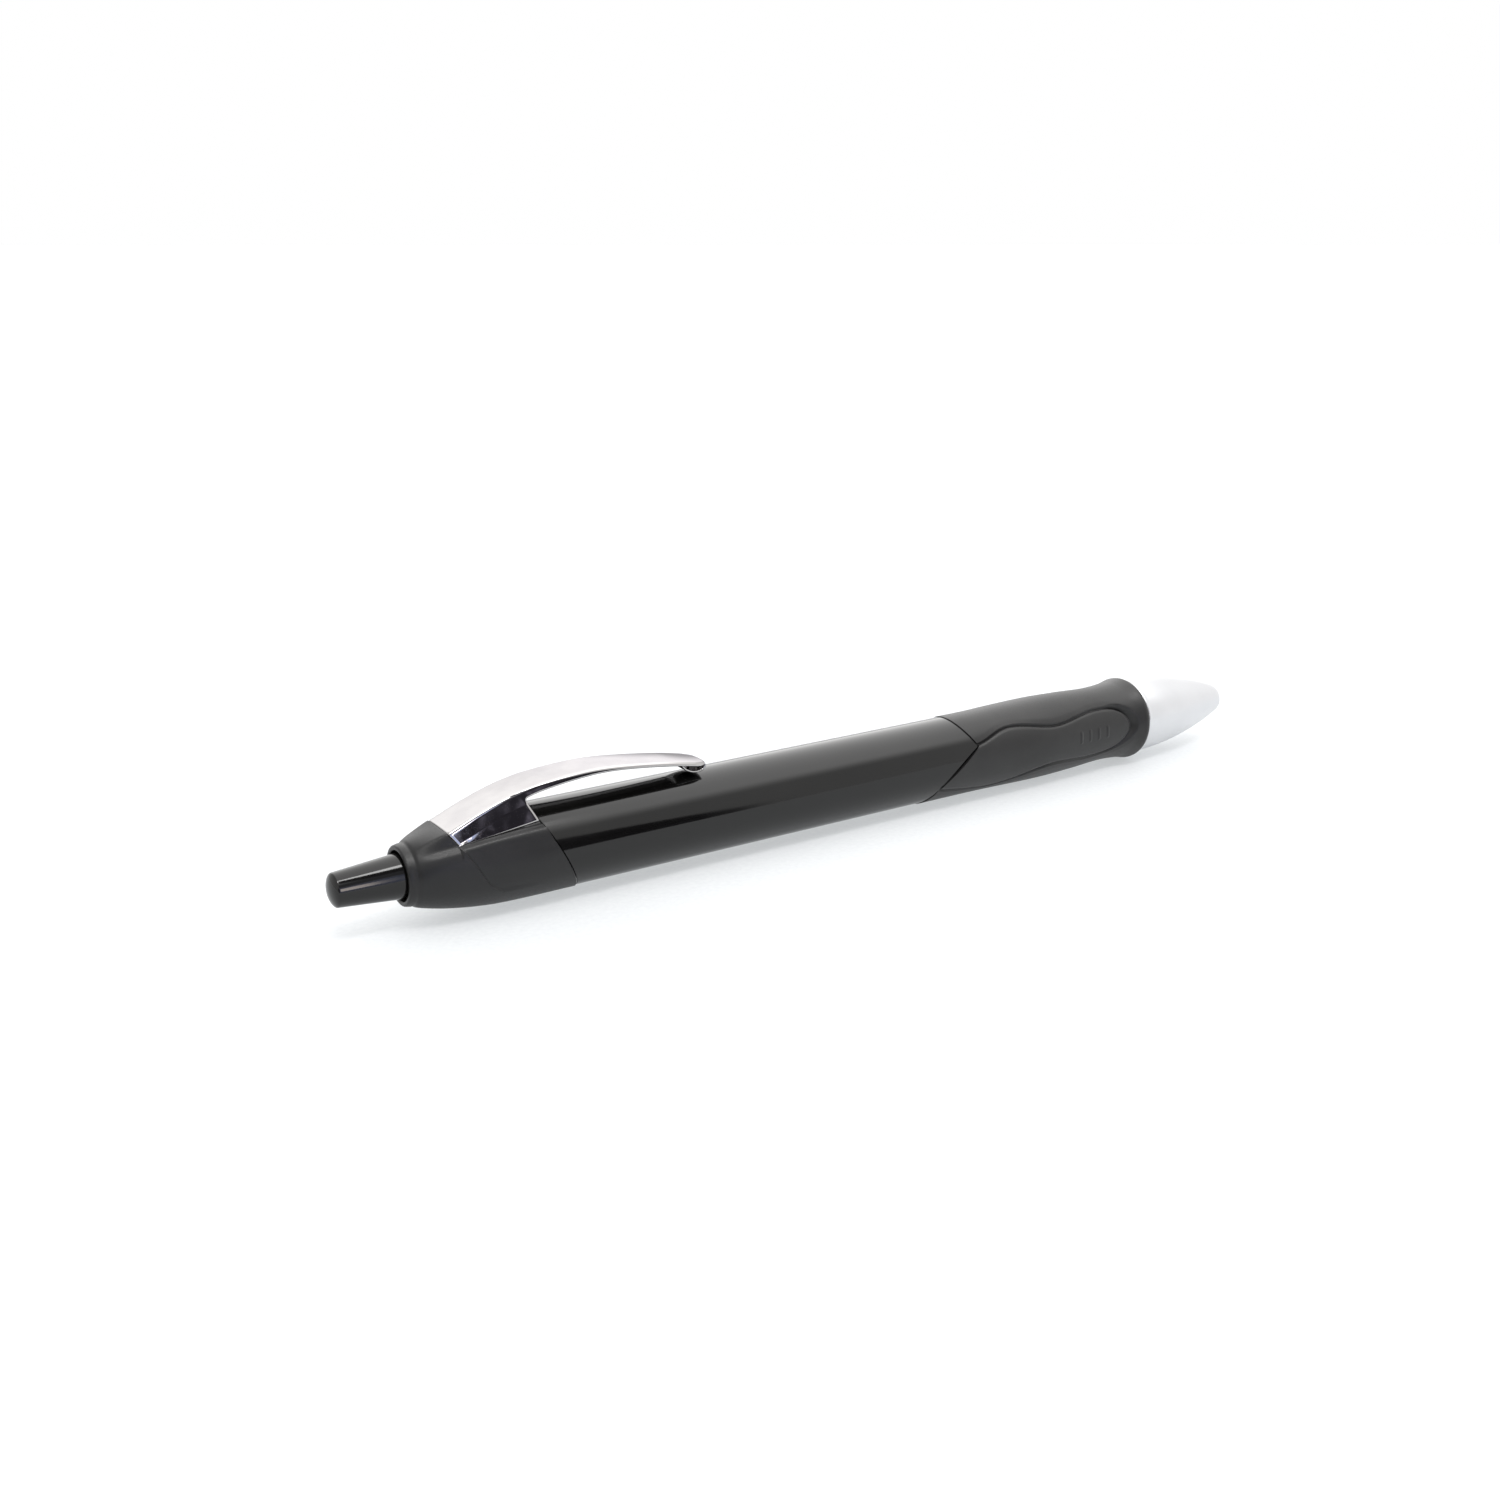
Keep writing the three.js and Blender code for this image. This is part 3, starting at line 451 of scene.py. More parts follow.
def satin_silver():
    """Soft silver plating on a moulded cone, lightly brushed round it."""
    recipe = Recipe("satin_silver_plate")
    brushing = recipe.noise(5, detail=3, stretch=(0.1, 1, 1))
    recipe.bump(brushing, height_mm=0.0006, strength=0.3)
    return recipe.paint(
        recipe.colours(recipe.noise(0.2), (0.64, 0.645, 0.66), (0.68, 0.685, 0.7)),
        recipe.ranged(brushing, 0.3, 0.36),
        Metallic=1.0,
    )


def turned_metal(name, dark, light):
    """Metal with fine rings left by turning or drawing."""
    recipe = Recipe(name)
    rings = recipe.noise(12, detail=3, stretch=(1, 0.05, 0.05))
    recipe.bump(rings, height_mm=0.003, strength=0.5)
    return recipe.paint(
        recipe.colours(recipe.noise(0.6), dark, light),
        recipe.ranged(rings, 0.18, 0.32),
        Metallic=1.0,
    )


def plain_plastic(name, dark, light, roughness):
    """Unpainted inner moulding."""
    recipe = Recipe(name)
    grain = recipe.noise(3, detail=4)
    recipe.bump(grain, height_mm=0.006, strength=0.4)
    return recipe.paint(
        recipe.colours(recipe.noise(0.4), dark, light),
        recipe.ranged(grain, roughness - 0.05, roughness + 0.05),
    )


def make_materials():
    return {
        "gloss_black": gloss_black(),
        "satin_black": satin_black(),
        "grip_rubber": rubber("grip_rubber", 7, 0.41),
        "pad_rubber": rubber("pad_rubber", 9, 0.43),
        "chrome": chrome(),
        "satin_silver": satin_silver(),
        "brass": turned_metal("turned_brass", (0.56, 0.38, 0.13), (0.68, 0.49, 0.2)),
        "spring_steel": turned_metal("spring_wire", (0.5, 0.5, 0.51), (0.62, 0.62, 0.63)),
        "carbide": turned_metal("ground_carbide", (0.28, 0.28, 0.29), (0.36, 0.36, 0.37)),
        "core_plastic": plain_plastic("core_plastic", (0.02, 0.02, 0.02), (0.028, 0.028, 0.028), 0.42),
        "white_plastic": plain_plastic("white_acetal", (0.72, 0.71, 0.67), (0.8, 0.79, 0.75), 0.4),
        "clear_plastic": plain_plastic("refill_plastic", (0.58, 0.6, 0.59), (0.68, 0.7, 0.69), 0.28),
        "black_ink": plain_plastic("ink", (0.004, 0.004, 0.008), (0.008, 0.008, 0.014), 0.3),
    }


# ---- Button, cap and barrel ----


def push_button(looks):
    """The domed button on its tapering shank, with the stem and the flange that keeps it in the cap."""
    dome_depth, dome_radius, fullness, steps = 0.75, 2.0, 1.25, 14
    shank_radius, shank_front_x, shank_front_radius = 2.01, -62.9, 2.7
    flange_rear_x, flange_front_x, flange_radius, stem_radius = -62.4, -61.6, 3.3, 1.7
    dome = []
    for i in range(1, steps + 1):
        turn = math.pi / 2 * i / steps
        dome.append((REAR_X + dome_depth * (1 - math.cos(turn) ** fullness), dome_radius * math.sin(turn)))
    shank = filleted([
        (REAR_X + dome_depth + 0.1, shank_radius), (shank_front_x, shank_front_radius),
        (flange_rear_x, shank_front_radius), (flange_rear_x, flange_radius),
        (flange_front_x, flange_radius), (flange_front_x, stem_radius), (STEM_END_X, stem_radius),
    ], radius=0.3, steps=7)
    outline = [(REAR_X, 0), *dome, *shank, (STEM_END_X, 0)]
    mesh_data = turned(outline, closed=False)
    return finish_piece("push_button", mesh_data, "plunger", ["push_button"], looks, "gloss_black")


def boss_lift(x, angle):
    """The boss behind the clip: level across the clip's width, then falling away to the round cap."""
    start_x, end_x = CAP_LIP_X + 0.5, CLIP_REAR_X - 0.2
    shoulder_angle, fall_start_angle, foot_angle = 29, 26, 47
    top_z = clip_edge_z(CLIP_REAR_X) + CLIP_FOLD_RISE
    level = top_z / math.cos(math.radians(min(angle, shoulder_angle)))
    fall = smooth(foot_angle, fall_start_angle, angle)
    grown = clamp((x - start_x) / (end_x - start_x))
    return (level - cap_radius(end_x)) * fall * grown


def beside_clip(x, angle):
    """0 behind the rear edge of the clip's root and 1 ahead of it."""
    top_angle, turn_to_foot, clearance = 30, 13, 0.12
    down_edge = clamp((angle - top_angle) / turn_to_foot)
    rear_edge = lerp(CLIP_REAR_X, PLATE_BOTTOM_REAR_X, down_edge) - clearance
    return smooth(rear_edge - 0.05, rear_edge + 0.08, x)


def clip_seat(x, angle):
    """How deep the cap is cut away under the clip's side plates."""
    rear_depth, front_depth = 0.66, 0.16
    edge = plate_edge_angle(x)
    depth = lerp(rear_depth, front_depth, smooth(PLATE_BOTTOM_REAR_X, PLATE_BOTTOM_FRONT_X, x))
    return depth * smooth(edge + 4, edge + 1, angle)


def cap_ridge(x, angle):
    """A soft ridge that runs just below the clip's side plate."""
    height = 0.22
    edge = plate_edge_angle(x)
    start, crest, end = edge + 4, edge + 11, edge + 27
    return height * smooth(start, crest, angle) * smooth(end, crest, angle)


def cap_panel(x, angle):
    """A shallow panel on the cap's flank: crisp at the crease behind it, fading out forward."""
    depth, crease_width = 0.18, 0.12
    lower_fade = smooth(121, 112, angle)
    forward_fade = smooth(-46.5, -54.5, x)
    return depth * smooth(0, crease_width, x - crease_x(angle)) * lower_fade * forward_fade


def cap_belly(x, angle):
    """A slight fullness high on the cap's flank, behind the crease."""
    height = 0.12
    around = smooth(46, 58, angle) * smooth(88, 66, angle)
    along = smooth(CAP_LIP_X + 0.6, -60, x) * smooth(-53, -58, x)
    return height * around * along


def rim_valley(x):
    """The shallow valley in front of the cap's rear rim."""
    depth, middle_x, width = 0.1, CAP_LIP_X + 0.45, 0.22
    return depth * math.exp(-((x - middle_x) / width) ** 2)


def cap_relief(x, angle, radius):
    """What stands off or sinks into the plain round cap; nothing does on its inside."""
    least_wall = 0.4
    if radius < cap_radius(x) - least_wall:
        return 0.0
    ahead = beside_clip(x, angle)
    raised = boss_lift(x, angle) * (1 - ahead) + cap_ridge(x, angle) * ahead + cap_belly(x, angle)
    sunk = clip_seat(x, angle) * ahead + cap_panel(x, angle) + rim_valley(x)
    return raised - sunk


def rear_cap(looks):
    """The cap: a shell with a rounded rim round the button's hole and a socket for the barrel's spigot."""
    seam_x, seam_edge, seam_radius = CAP_SEAM_X - SEAM_GAP / 2, 0.06, 5.55
    wall_x, bore_radius, rim_radius, behind_rim_radius = CAP_REAR_X + 0.9, 3.6, 3.5, 3.66
    socket_rear_x, socket_radius = -55.4, 4.85
    rear = filleted([
        (wall_x, bore_radius), (wall_x, CAP_HOLE_RADIUS), (CAP_REAR_X, CAP_HOLE_RADIUS),
        (CAP_REAR_X, rim_radius), (CAP_LIP_X + 0.1, behind_rim_radius),
    ], radius=0.28, steps=7)
    outside = sampled(cap_radius, CAP_LIP_X + 0.2, seam_x - seam_edge, steps=210)
    front = [
        (seam_x, seam_radius), (seam_x, socket_radius),
        (socket_rear_x, socket_radius), (socket_rear_x, bore_radius),
    ]
    outline = rear + outside + front
    mesh_data = turned(outline, steps=360, shift=cap_seam_shift, relief=cap_relief)
    return finish_piece("rear_cap", mesh_data, "body", ["rear_cap"], looks, "satin_black")


def barrel(looks):
    """A straight tube: a spigot goes into the cap, and the wider front of the bore takes the grip's core."""
    bore_radius, spigot_radius, wide_bore_x, edge = 4.15, 4.7, -5, 0.06
    rear_x = CAP_SEAM_X + SEAM_GAP / 2
    front_x = GRIP_SEAM_X - SEAM_GAP / 2
    bend_x = front_x - GRIP_SEAM_REACH
    straight_x, steps = -36.0, 8

    def side(start, end):
        return [(lerp(start, end, i / steps), BARREL_RADIUS) for i in range(1, steps + 1)]

    def shift(x, angle):
        return cap_seam_shift(x, angle) + grip_seam_shift(x, angle)

    outline = [
        (SPIGOT_REAR_X, bore_radius), (SPIGOT_REAR_X, spigot_radius),
        (rear_x, spigot_radius), (rear_x, BARREL_RADIUS - edge),
        (rear_x + edge, BARREL_RADIUS), (rear_x + CAP_SEAM_REACH, BARREL_RADIUS),
        *side(straight_x, bend_x), *side(bend_x, front_x - edge),
        (front_x, BARREL_RADIUS - edge), (front_x, GRIP_BORE_RADIUS),
        (wide_bore_x, GRIP_BORE_RADIUS), (wide_bore_x, bore_radius),
    ]
    mesh_data = turned(outline, steps=240, shift=shift)
    return finish_piece("barrel", mesh_data, "body", ["barrel"], looks, "gloss_black")


# ---- Grip ----


def pad_depth_inside(x, angle):
    """How far inside the pad's outline a point is, in millimetres; negative outside it."""
    upper, lower = pad_upper_angle(x), pad_lower_angle(x)
    middle, half = (upper + lower) / 2, (lower - upper) / 2
    half_width = math.radians(half) * BARREL_RADIUS
    into_end = max(0.0, 1 - (PAD_FRONT_X - x) / PAD_FRONT_ROUNDING)
    return half_width * (1 - math.hypot((angle - middle) / half, into_end))


def grip_relief(x, angle, radius):
    """The pockets that hold the pads: a fine groove along their sides, and a wide crescent at the front."""
    if radius <= GRIP_BORE_RADIUS:
        return 0.0
    side_depth, crescent_depth, floor_clearance, roll_depth = 0.32, 0.85, 0.12, 0.06
    inside = pad_depth_inside(x, angle)
    front = smooth(PAD_FRONT_X - 5, PAD_FRONT_X - 1.5, x) * smooth(118, 80, angle)
    groove_depth = lerp(side_depth, crescent_depth, front)
    groove_start, groove_end = lerp(-0.46, -1.0, front), lerp(-0.12, -0.05, front)
    groove = groove_depth * smooth(groove_start, groove_end, inside)
    floor_depth = radius - (PAD_FLOOR_RADIUS - floor_clearance)
    under_pad = max(0.0, floor_depth - groove_depth) * smooth(-0.02, 0.15, inside)
    roll = roll_depth * smooth(-1.3, -0.4, inside)
    return -groove - under_pad - roll


def grip_sleeve(looks):
    """The rubber sleeve, waisted along its length and ending in a rounded lip."""
    seam_x, seam_edge = GRIP_SEAM_X + SEAM_GAP / 2, 0.06
    lip_rounding = 0.35
    rear = [(seam_x, BARREL_RADIUS + 0.04)]
    outside = sampled(grip_radius, seam_x + seam_edge, LIP_X, steps=340)
    front = [
        (GRIP_FRONT_X - lip_rounding, LIP_RADIUS - 0.02), (GRIP_FRONT_X - 0.12, LIP_RADIUS - 0.13),
        (GRIP_FRONT_X, LIP_RADIUS - lip_rounding), (GRIP_FRONT_X, GRIP_BORE_RADIUS),
    ]
    outline = rear + outside + front + [(seam_x, GRIP_BORE_RADIUS)]
    mesh_data = turned(outline, steps=360, shift=grip_seam_shift, relief=grip_relief)
    return finish_piece("grip_sleeve", mesh_data, "body", ["grip_sleeve"], looks, "grip_rubber")


def pad_rear_x(t):
    """The pad's rear edge, a little ahead of the grip's seam, a fraction t of the way down the pad."""
    upper_corner_x, lower_corner_x, gap = 18, 12, 0.05
    angle = lerp(pad_upper_angle(upper_corner_x), pad_lower_angle(lower_corner_x), t)
    return GRIP_SEAM_X + grip_seam_forward(angle) + gap


def pad_ridges(x, angle):
    """Four short bars across the front of the pad."""
    first_x, pitch, count, half_width, bar_height = 37.0, 1.8, 4, 0.26, 0.07
    upper_end, lower_end, end_fade = 75, 95, 2.5
    along_bar = smooth(upper_end, upper_end + end_fade, angle)
    along_bar *= smooth(lower_end, lower_end - end_fade, angle)
    height = 0.0
    for i in range(count):
        off = abs(x - first_x - i * pitch) / half_width
        height += bar_height * smooth(1, 0.5, off)
    return height * along_bar


def grip_pad(name, side, looks):
    """A curved pad: a finely gridded outer skin with rolled edges, closed by its walls and floor."""
    long_steps, cross_steps = 320, 110
    even_share, closing_share = 0.9, 0.1
    roll_width, roll_depth = 0.55, 0.3

    def place(i, j, inner):
        t = (1 - math.cos(math.pi * j / cross_steps)) / 2
        across = 2 * t - 1
        front_x = PAD_FRONT_X - PAD_FRONT_ROUNDING * (1 - math.sqrt(1 - across * across))
        s = i / long_steps
        if s > even_share:
            s = even_share + closing_share * math.sin((s - even_share) / closing_share * math.pi / 2)
        x = lerp(pad_rear_x(t), front_x, s)
        angle = lerp(pad_upper_angle(x), pad_lower_angle(x), t)
        if inner:
            return on_pen(x, PAD_FLOOR_RADIUS, side * angle)
        depth = clamp(pad_depth_inside(x, angle) / roll_width)
        roll = roll_depth * (1 - math.sqrt(1 - (1 - depth) ** 2))
        return on_pen(x, pad_radius(x) - roll + pad_ridges(x, angle), side * angle)

    mesh_data = bmesh.new()
    skins = []
    for inner in (False, True):
        rows = [[place(i, j, inner) for j in range(cross_steps + 1)] for i in range(long_steps + 1)]
        skins.append(add_grid(mesh_data, rows))
    outer, floor = skins
    rim = (
        [(i, 0) for i in range(long_steps)] + [(long_steps, j) for j in range(cross_steps)]
        + [(i, cross_steps) for i in range(long_steps, 0, -1)] + [(0, j) for j in range(cross_steps, 0, -1)]
    )
    for (i, j), (k, m) in zip(rim, rim[1:] + rim[:1]):
        mesh_data.faces.new((outer[i][j], outer[k][m], floor[k][m], floor[i][j]))
    return finish_piece(name, mesh_data, "body", [name], looks, "pad_rubber", sharp=50)


# ---- Clip ----


def side_lean(x):
    """How far the clip's side leans out of the upright: most at the root, then steady along the arm."""
    along = (x - CLIP_REAR_X) / (PLATE_TOP_FRONT_X - CLIP_REAR_X)
    return lerp(ROOT_LEAN, ARM_LEAN, clamp(along))


def clip_side_y(x, z):
    """How far out the clip's leaning side stands at height z, beside the arm's edge at x."""
    return clip_half_width(x) + (clip_edge_z(x) - z) * math.tan(side_lean(x))


def clip_foot(s, side):
    """The lower edge of a side plate, a fraction s of the way along it."""
    top_x = lerp(CLIP_REAR_X, PLATE_TOP_FRONT_X, s)
    x = lerp(PLATE_BOTTOM_REAR_X, PLATE_BOTTOM_FRONT_X, s)
    z = lerp(PLATE_BOTTOM_REAR_Z, PLATE_BOTTOM_FRONT_Z, s)
    return Vector((x, -side * clip_side_y(top_x, z), z))


def clip_side(x, side, notch, slant):
    """Points round the fold and down the leaning flange, which is deepest where notch is 1."""
    steps, notch_depth = 16, 0.6
    half, edge_z = clip_half_width(x), clip_edge_z(x)
    top_z = edge_z + CLIP_FOLD_RISE
    depth = clip_flange_depth(x) + notch_depth * (1 - math.sqrt(1 - notch ** 2))
    lean = side_lean(x)
    full_turn = math.pi / 2 - lean
    dropped = (CLIP_FOLD_RADIUS - CLIP_FOLD_RISE - depth) / CLIP_FOLD_RADIUS
    turn = min(full_turn, math.acos(clamp(dropped, -1, 1)))
    arc = CLIP_FOLD_RADIUS * turn
    arc_end_z = top_z - CLIP_FOLD_RADIUS * (1 - math.cos(turn))
    straight = max(0.0, (arc_end_z - (edge_z - depth)) / math.cos(lean))
    points = []
    for k in range(1, steps + 1):
        run = (arc + straight) * k / steps
        turned_by = min(run, arc) / CLIP_FOLD_RADIUS
        down = max(0.0, run - arc)
        y = half - CLIP_FOLD_RADIUS * (1 - math.sin(turned_by)) + down * math.sin(lean)
        z = top_z - CLIP_FOLD_RADIUS * (1 - math.cos(turned_by)) - down * math.cos(lean)
        points.append(Vector((x + slant * (top_z - z), -side * y, z)))
    return points


def clip_sheet():
    """The clip's outer skin: the arched top, its folded edges, and the side plates at the root.

    Rows run along the pen. Columns run across the sheet, from the foot of one plate to the other's.
    """
    top_steps, plate_steps = 16, 14
    root_rows, arm_rows = 36, 120
    notch_length, slant_fade_length = 0.8, 3
    rows = []
    for i in range(root_rows + arm_rows + 1):
        s = min(1.0, i / root_rows)
        t = max(0.0, (i - root_rows) / arm_rows)
        top_x = lerp(CLIP_REAR_X, PLATE_TOP_FRONT_X, s)
        x = lerp(top_x, CLIP_TIP_X, t)
        notch = clamp(1 - (x - PLATE_TOP_FRONT_X) / notch_length)
        inner_half = clip_half_width(x) - CLIP_FOLD_RADIUS
        top = []
        for j in range(top_steps + 1):
            across = 2 * j / top_steps - 1
            z = clip_edge_z(x) + CLIP_FOLD_RISE + CLIP_CROWN * (1 - across * across)
            top.append(Vector((x, -inner_half * across, z)))
        sides = []
        for side in (-1, 1):
            foot = clip_foot(s, side)
            slant = (foot.x - top_x) / (clip_edge_z(top_x) - foot.z)
            slant *= clamp(1 - (x - PLATE_TOP_FRONT_X) / slant_fade_length) ** 2
            points = clip_side(x, side, notch, slant)
            if i <= root_rows:
                points += [points[-1].lerp(foot, (k + 1) / plate_steps) for k in range(plate_steps)]
            sides.append(points)
        rows.append(list(reversed(sides[0])) + top + sides[1])
    return rows, root_rows, plate_steps


def thickened(skin, thickness, probe, outside):
    """Gives an open skin of sheet its thickness, with a half-round edge all along its border.

    The probe is one of its corners, where the outer face looks the way that outside points.
    """
    steps = 6
    skin.normal_update()
    if probe.normal.dot(outside) < 0:
        bmesh.ops.reverse_faces(skin, faces=skin.faces)
        skin.normal_update()
    outer_faces, border = list(skin.faces), [edge for edge in skin.edges if edge.is_boundary]
    away = {}
    for edge in border:
        face, (start, end) = edge.link_faces[0], edge.verts
        out = (end.co - start.co).cross(face.normal).normalized()
        if out.dot(face.calc_center_median() - start.co) > 0:
            out.negate()
        for corner in (start, end):
            away[corner] = away.get(corner, Vector()) + out
    inner = {corner: skin.verts.new(corner.co - corner.normal * thickness) for corner in list(skin.verts)}
    rims = {}
    for corner, out in away.items():
        middle, half = corner.co - corner.normal * thickness / 2, thickness / 2
        rim = [corner]
        for k in range(1, steps):
            turn = math.pi * k / steps
            edge_way = corner.normal * math.cos(turn) + out.normalized() * math.sin(turn)
            rim.append(skin.verts.new(middle + edge_way * half))
        rims[corner] = rim + [inner[corner]]
    for face in outer_faces:
        skin.faces.new([inner[corner] for corner in reversed(face.verts)])
    for edge in border:
        first, second = (rims[corner] for corner in edge.verts)
        for k in range(steps):
            skin.faces.new((first[k], first[k + 1], second[k + 1], second[k]))


def clip(looks):
    """The sheet of the arm and its side plates, with the trough across the tip."""
    rows, root_rows, plate_steps = clip_sheet()
    sheet = bmesh.new()
    raised = Vector((0, 0, AXIS_Z))
    grid = [[sheet.verts.new((point + raised) * MM) for point in row] for row in rows]
    for i in range(len(grid) - 1):
        upper, lower = grid[i], grid[i + 1]
        if i == root_rows:
            upper = upper[plate_steps:-plate_steps]
        for j in range(min(len(upper), len(lower)) - 1):
            sheet.faces.new((upper[j], upper[j + 1], lower[j + 1], lower[j]))
    middle_row = grid[len(grid) // 2]
    thickened(sheet, SHEET * MM, middle_row[len(middle_row) // 2], Vector((0, 0, 1)))
    trough, trough_mesh = clip_trough(), bpy.data.meshes.new("clip_trough")
    trough.to_mesh(trough_mesh)
    trough.free()
    sheet.from_mesh(trough_mesh)
    bpy.data.meshes.remove(trough_mesh)
    return finish_piece("clip", sheet, "clip", ["clip"], looks, "chrome", sharp=40)


def clip_trough():
    """The trough pressed across the tip, open at both ends."""
    half_length, depth, half_width, rim_drop, overhang = 1.8, 1.15, 1.95, 0.14, 0.03
    around_steps, across_steps = 28, 4
    centre_x = CLIP_TIP_X - half_length + overhang
    rows = []
    for j in range(across_steps + 1):
        y = lerp(half_width, -half_width, j / across_steps)
        row = []
        for i in range(around_steps + 1):
            turn = math.pi * i / around_steps
            x = centre_x - half_length * math.cos(turn)
            z = clip_edge_z(x) - rim_drop - depth * math.sin(turn)
            row.append(Vector((x, y, AXIS_Z + z)) * MM)
        rows.append(row)
    skin = bmesh.new()
    grid = add_grid(skin, rows)
    thickened(skin, TROUGH_SHEET * MM, grid[across_steps // 2][around_steps // 2], Vector((0, 0, -1)))
    return skin


# ---- Nose and point ----


def nose_cone(looks):
    """The plated cone with the neck that screws into the grip, hollow for the spring and the point."""
    neck_rear_x, neck_radius, cone_front_x = 42, 3.2, 68.9
    bore_front_x, tip_bore_rear_x = 64.2, 65.2
    rear = filleted([
        (neck_rear_x, NOSE_BORE_RADIUS), (neck_rear_x, neck_radius), (NOSE_REAR_X, neck_radius),
        (NOSE_REAR_X, BARREL_RADIUS), (NOSE_REAR_X + 0.3, BARREL_RADIUS + 0.02),
    ], radius=0.12, steps=3)
    cone = sampled(nose_radius, NOSE_REAR_X + 0.4, cone_front_x, steps=60)
    tip = filleted([
        (cone_front_x + 0.2, 2.44), (FRONT_X - 0.25, 2.02), (FRONT_X, NOSE_TIP_BORE_RADIUS),
        (tip_bore_rear_x, NOSE_TIP_BORE_RADIUS), (bore_front_x, NOSE_BORE_RADIUS),
    ], radius=0.8, steps=9)
    mesh_data = turned(rear + cone + tip, steps=160)
    return finish_piece("nose_cone", mesh_data, "nose", ["nose_cone"], looks, "satin_silver")


def refill_point(looks):
    """The brass point: a shank in the tube, a shoulder, and a cone with a socket for the ball."""
    shank_rear_x, shank_radius = 54.8, 0.8
    shoulder_x, shoulder_radius, cone_rear_x = 57.8, 1.15, 64.2
    mouth_x, mouth_radius, socket_radius, socket_floor_x = 67.3, 0.52, 0.42, 66.85
    side = filleted([
        (shank_rear_x, shank_radius), (shoulder_x, shank_radius), (shoulder_x, shoulder_radius),
        (cone_rear_x, shoulder_radius), (mouth_x, mouth_radius), (mouth_x, socket_radius),
        (socket_floor_x, socket_radius),
    ], radius=0.08, steps=3)
    outline = [(shank_rear_x, 0), *side, (socket_floor_x, 0)]
    mesh_data = turned(outline, steps=64, closed=False)
    return finish_piece("refill_point", mesh_data, "refill", ["refill_point"], looks, "brass")


def writing_ball(looks):
    """The ball in the mouth of the point."""
    centre_x, radius, steps = 67.35, 0.35, 20
    turns = [math.pi * i / steps for i in range(steps + 1)]
    outline = [(centre_x - radius * math.cos(turn), radius * math.sin(turn)) for turn in turns]
    mesh_data = turned(outline, steps=40, closed=False)
    return finish_piece("writing_ball", mesh_data, "refill", ["writing_ball"], looks, "carbide")


def return_spring(looks):
    """A drawn coil with a closed turn at each end."""
    coil_radius, wire_radius, travel = 1.95, 0.2, 6
    turns, turn_steps, wire_steps = 9, 40, 12
    closed_share, ease, softness = 0.08, 0.02, 0.35
    count = turns * turn_steps
    rows = []
    for i in range(count + 1):
        t = i / count
        turn = 2 * math.pi * turns * t
        even = clamp((t - closed_share) / (1 - 2 * closed_share))
        eased = smooth(closed_share - ease, 1 - closed_share + ease, t)
        spread = lerp(even, eased, softness)
        x = lerp(SPRING_REAR_X + wire_radius, SPRING_FRONT_X - wire_radius, spread)
        row = []
        for j in range(wire_steps):
            around = 2 * math.pi * j / wire_steps
            radius = coil_radius + wire_radius * math.cos(around)
            y, z = radius * math.sin(turn), radius * math.cos(turn)
            row.append(Vector((x + wire_radius * math.sin(around), y, AXIS_Z + z)) * MM)
        rows.append(row)
    mesh_data = bmesh.new()
    grid = add_grid(mesh_data, rows, wrap_columns=True)
    mesh_data.faces.new(grid[0])
    mesh_data.faces.new(grid[-1])
    piece = finish_piece("return_spring", mesh_data, "body", ["return_spring"], looks, "spring_steel")
    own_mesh(piece)
    return piece


def finish_inner_nodes(looks):
    """The CAD nodes that stay get the finish of their slot."""
    finishes = {
        "button_crown": "white_plastic",
        "cam_rotor": "white_plastic",
        "cam_guide": "white_plastic",
        "grip_core": "core_plastic",
        "thread_bush": "brass",
        "refill_tail": "white_plastic",
        "refill_tube": "clear_plastic",
        "refill_ink": "black_ink",
        "refill_collar": "white_plastic",
    }
    for node, finish in finishes.items():
        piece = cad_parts[node]
        piece.data.materials.clear()
        piece.data.materials.append(looks[finish])


# ---- Stage ----


def stage_material():
    """A pale translucent table top, lit a little from below."""
    recipe = Recipe("pale_table")
    tooth = recipe.noise(1.6, detail=3)
    recipe.bump(tooth, height_mm=0.05, strength=0.3)
    glow = recipe.colours(tooth, (0.93, 0.96, 0.98), (0.96, 0.99, 1.0))
    recipe.join(glow, recipe.shader.inputs["Emission Color"])
    surface = recipe.colours(tooth, (0.31, 0.315, 0.32), (0.34, 0.345, 0.35))
    return recipe.paint(surface, Roughness=0.6, Emission_Strength=0.5)


def floor():
    """A wide pale table top, which ends a little in front of the pen."""
    mesh_data = bmesh.new()
    size, front_y = 60.0, -0.14
    corners = [(-size, front_y, 0), (size, front_y, 0), (size, size, 0), (-size, size, 0)]
    mesh_data.faces.new([mesh_data.verts.new(corner) for corner in corners])
    mesh = bpy.data.meshes.new("table_top")
    mesh_data.to_mesh(mesh)
    mesh_data.free()
    table_top = bpy.data.objects.new("table_top", mesh)
    bpy.context.scene.collection.objects.link(table_top)
    mesh.materials.append(stage_material())


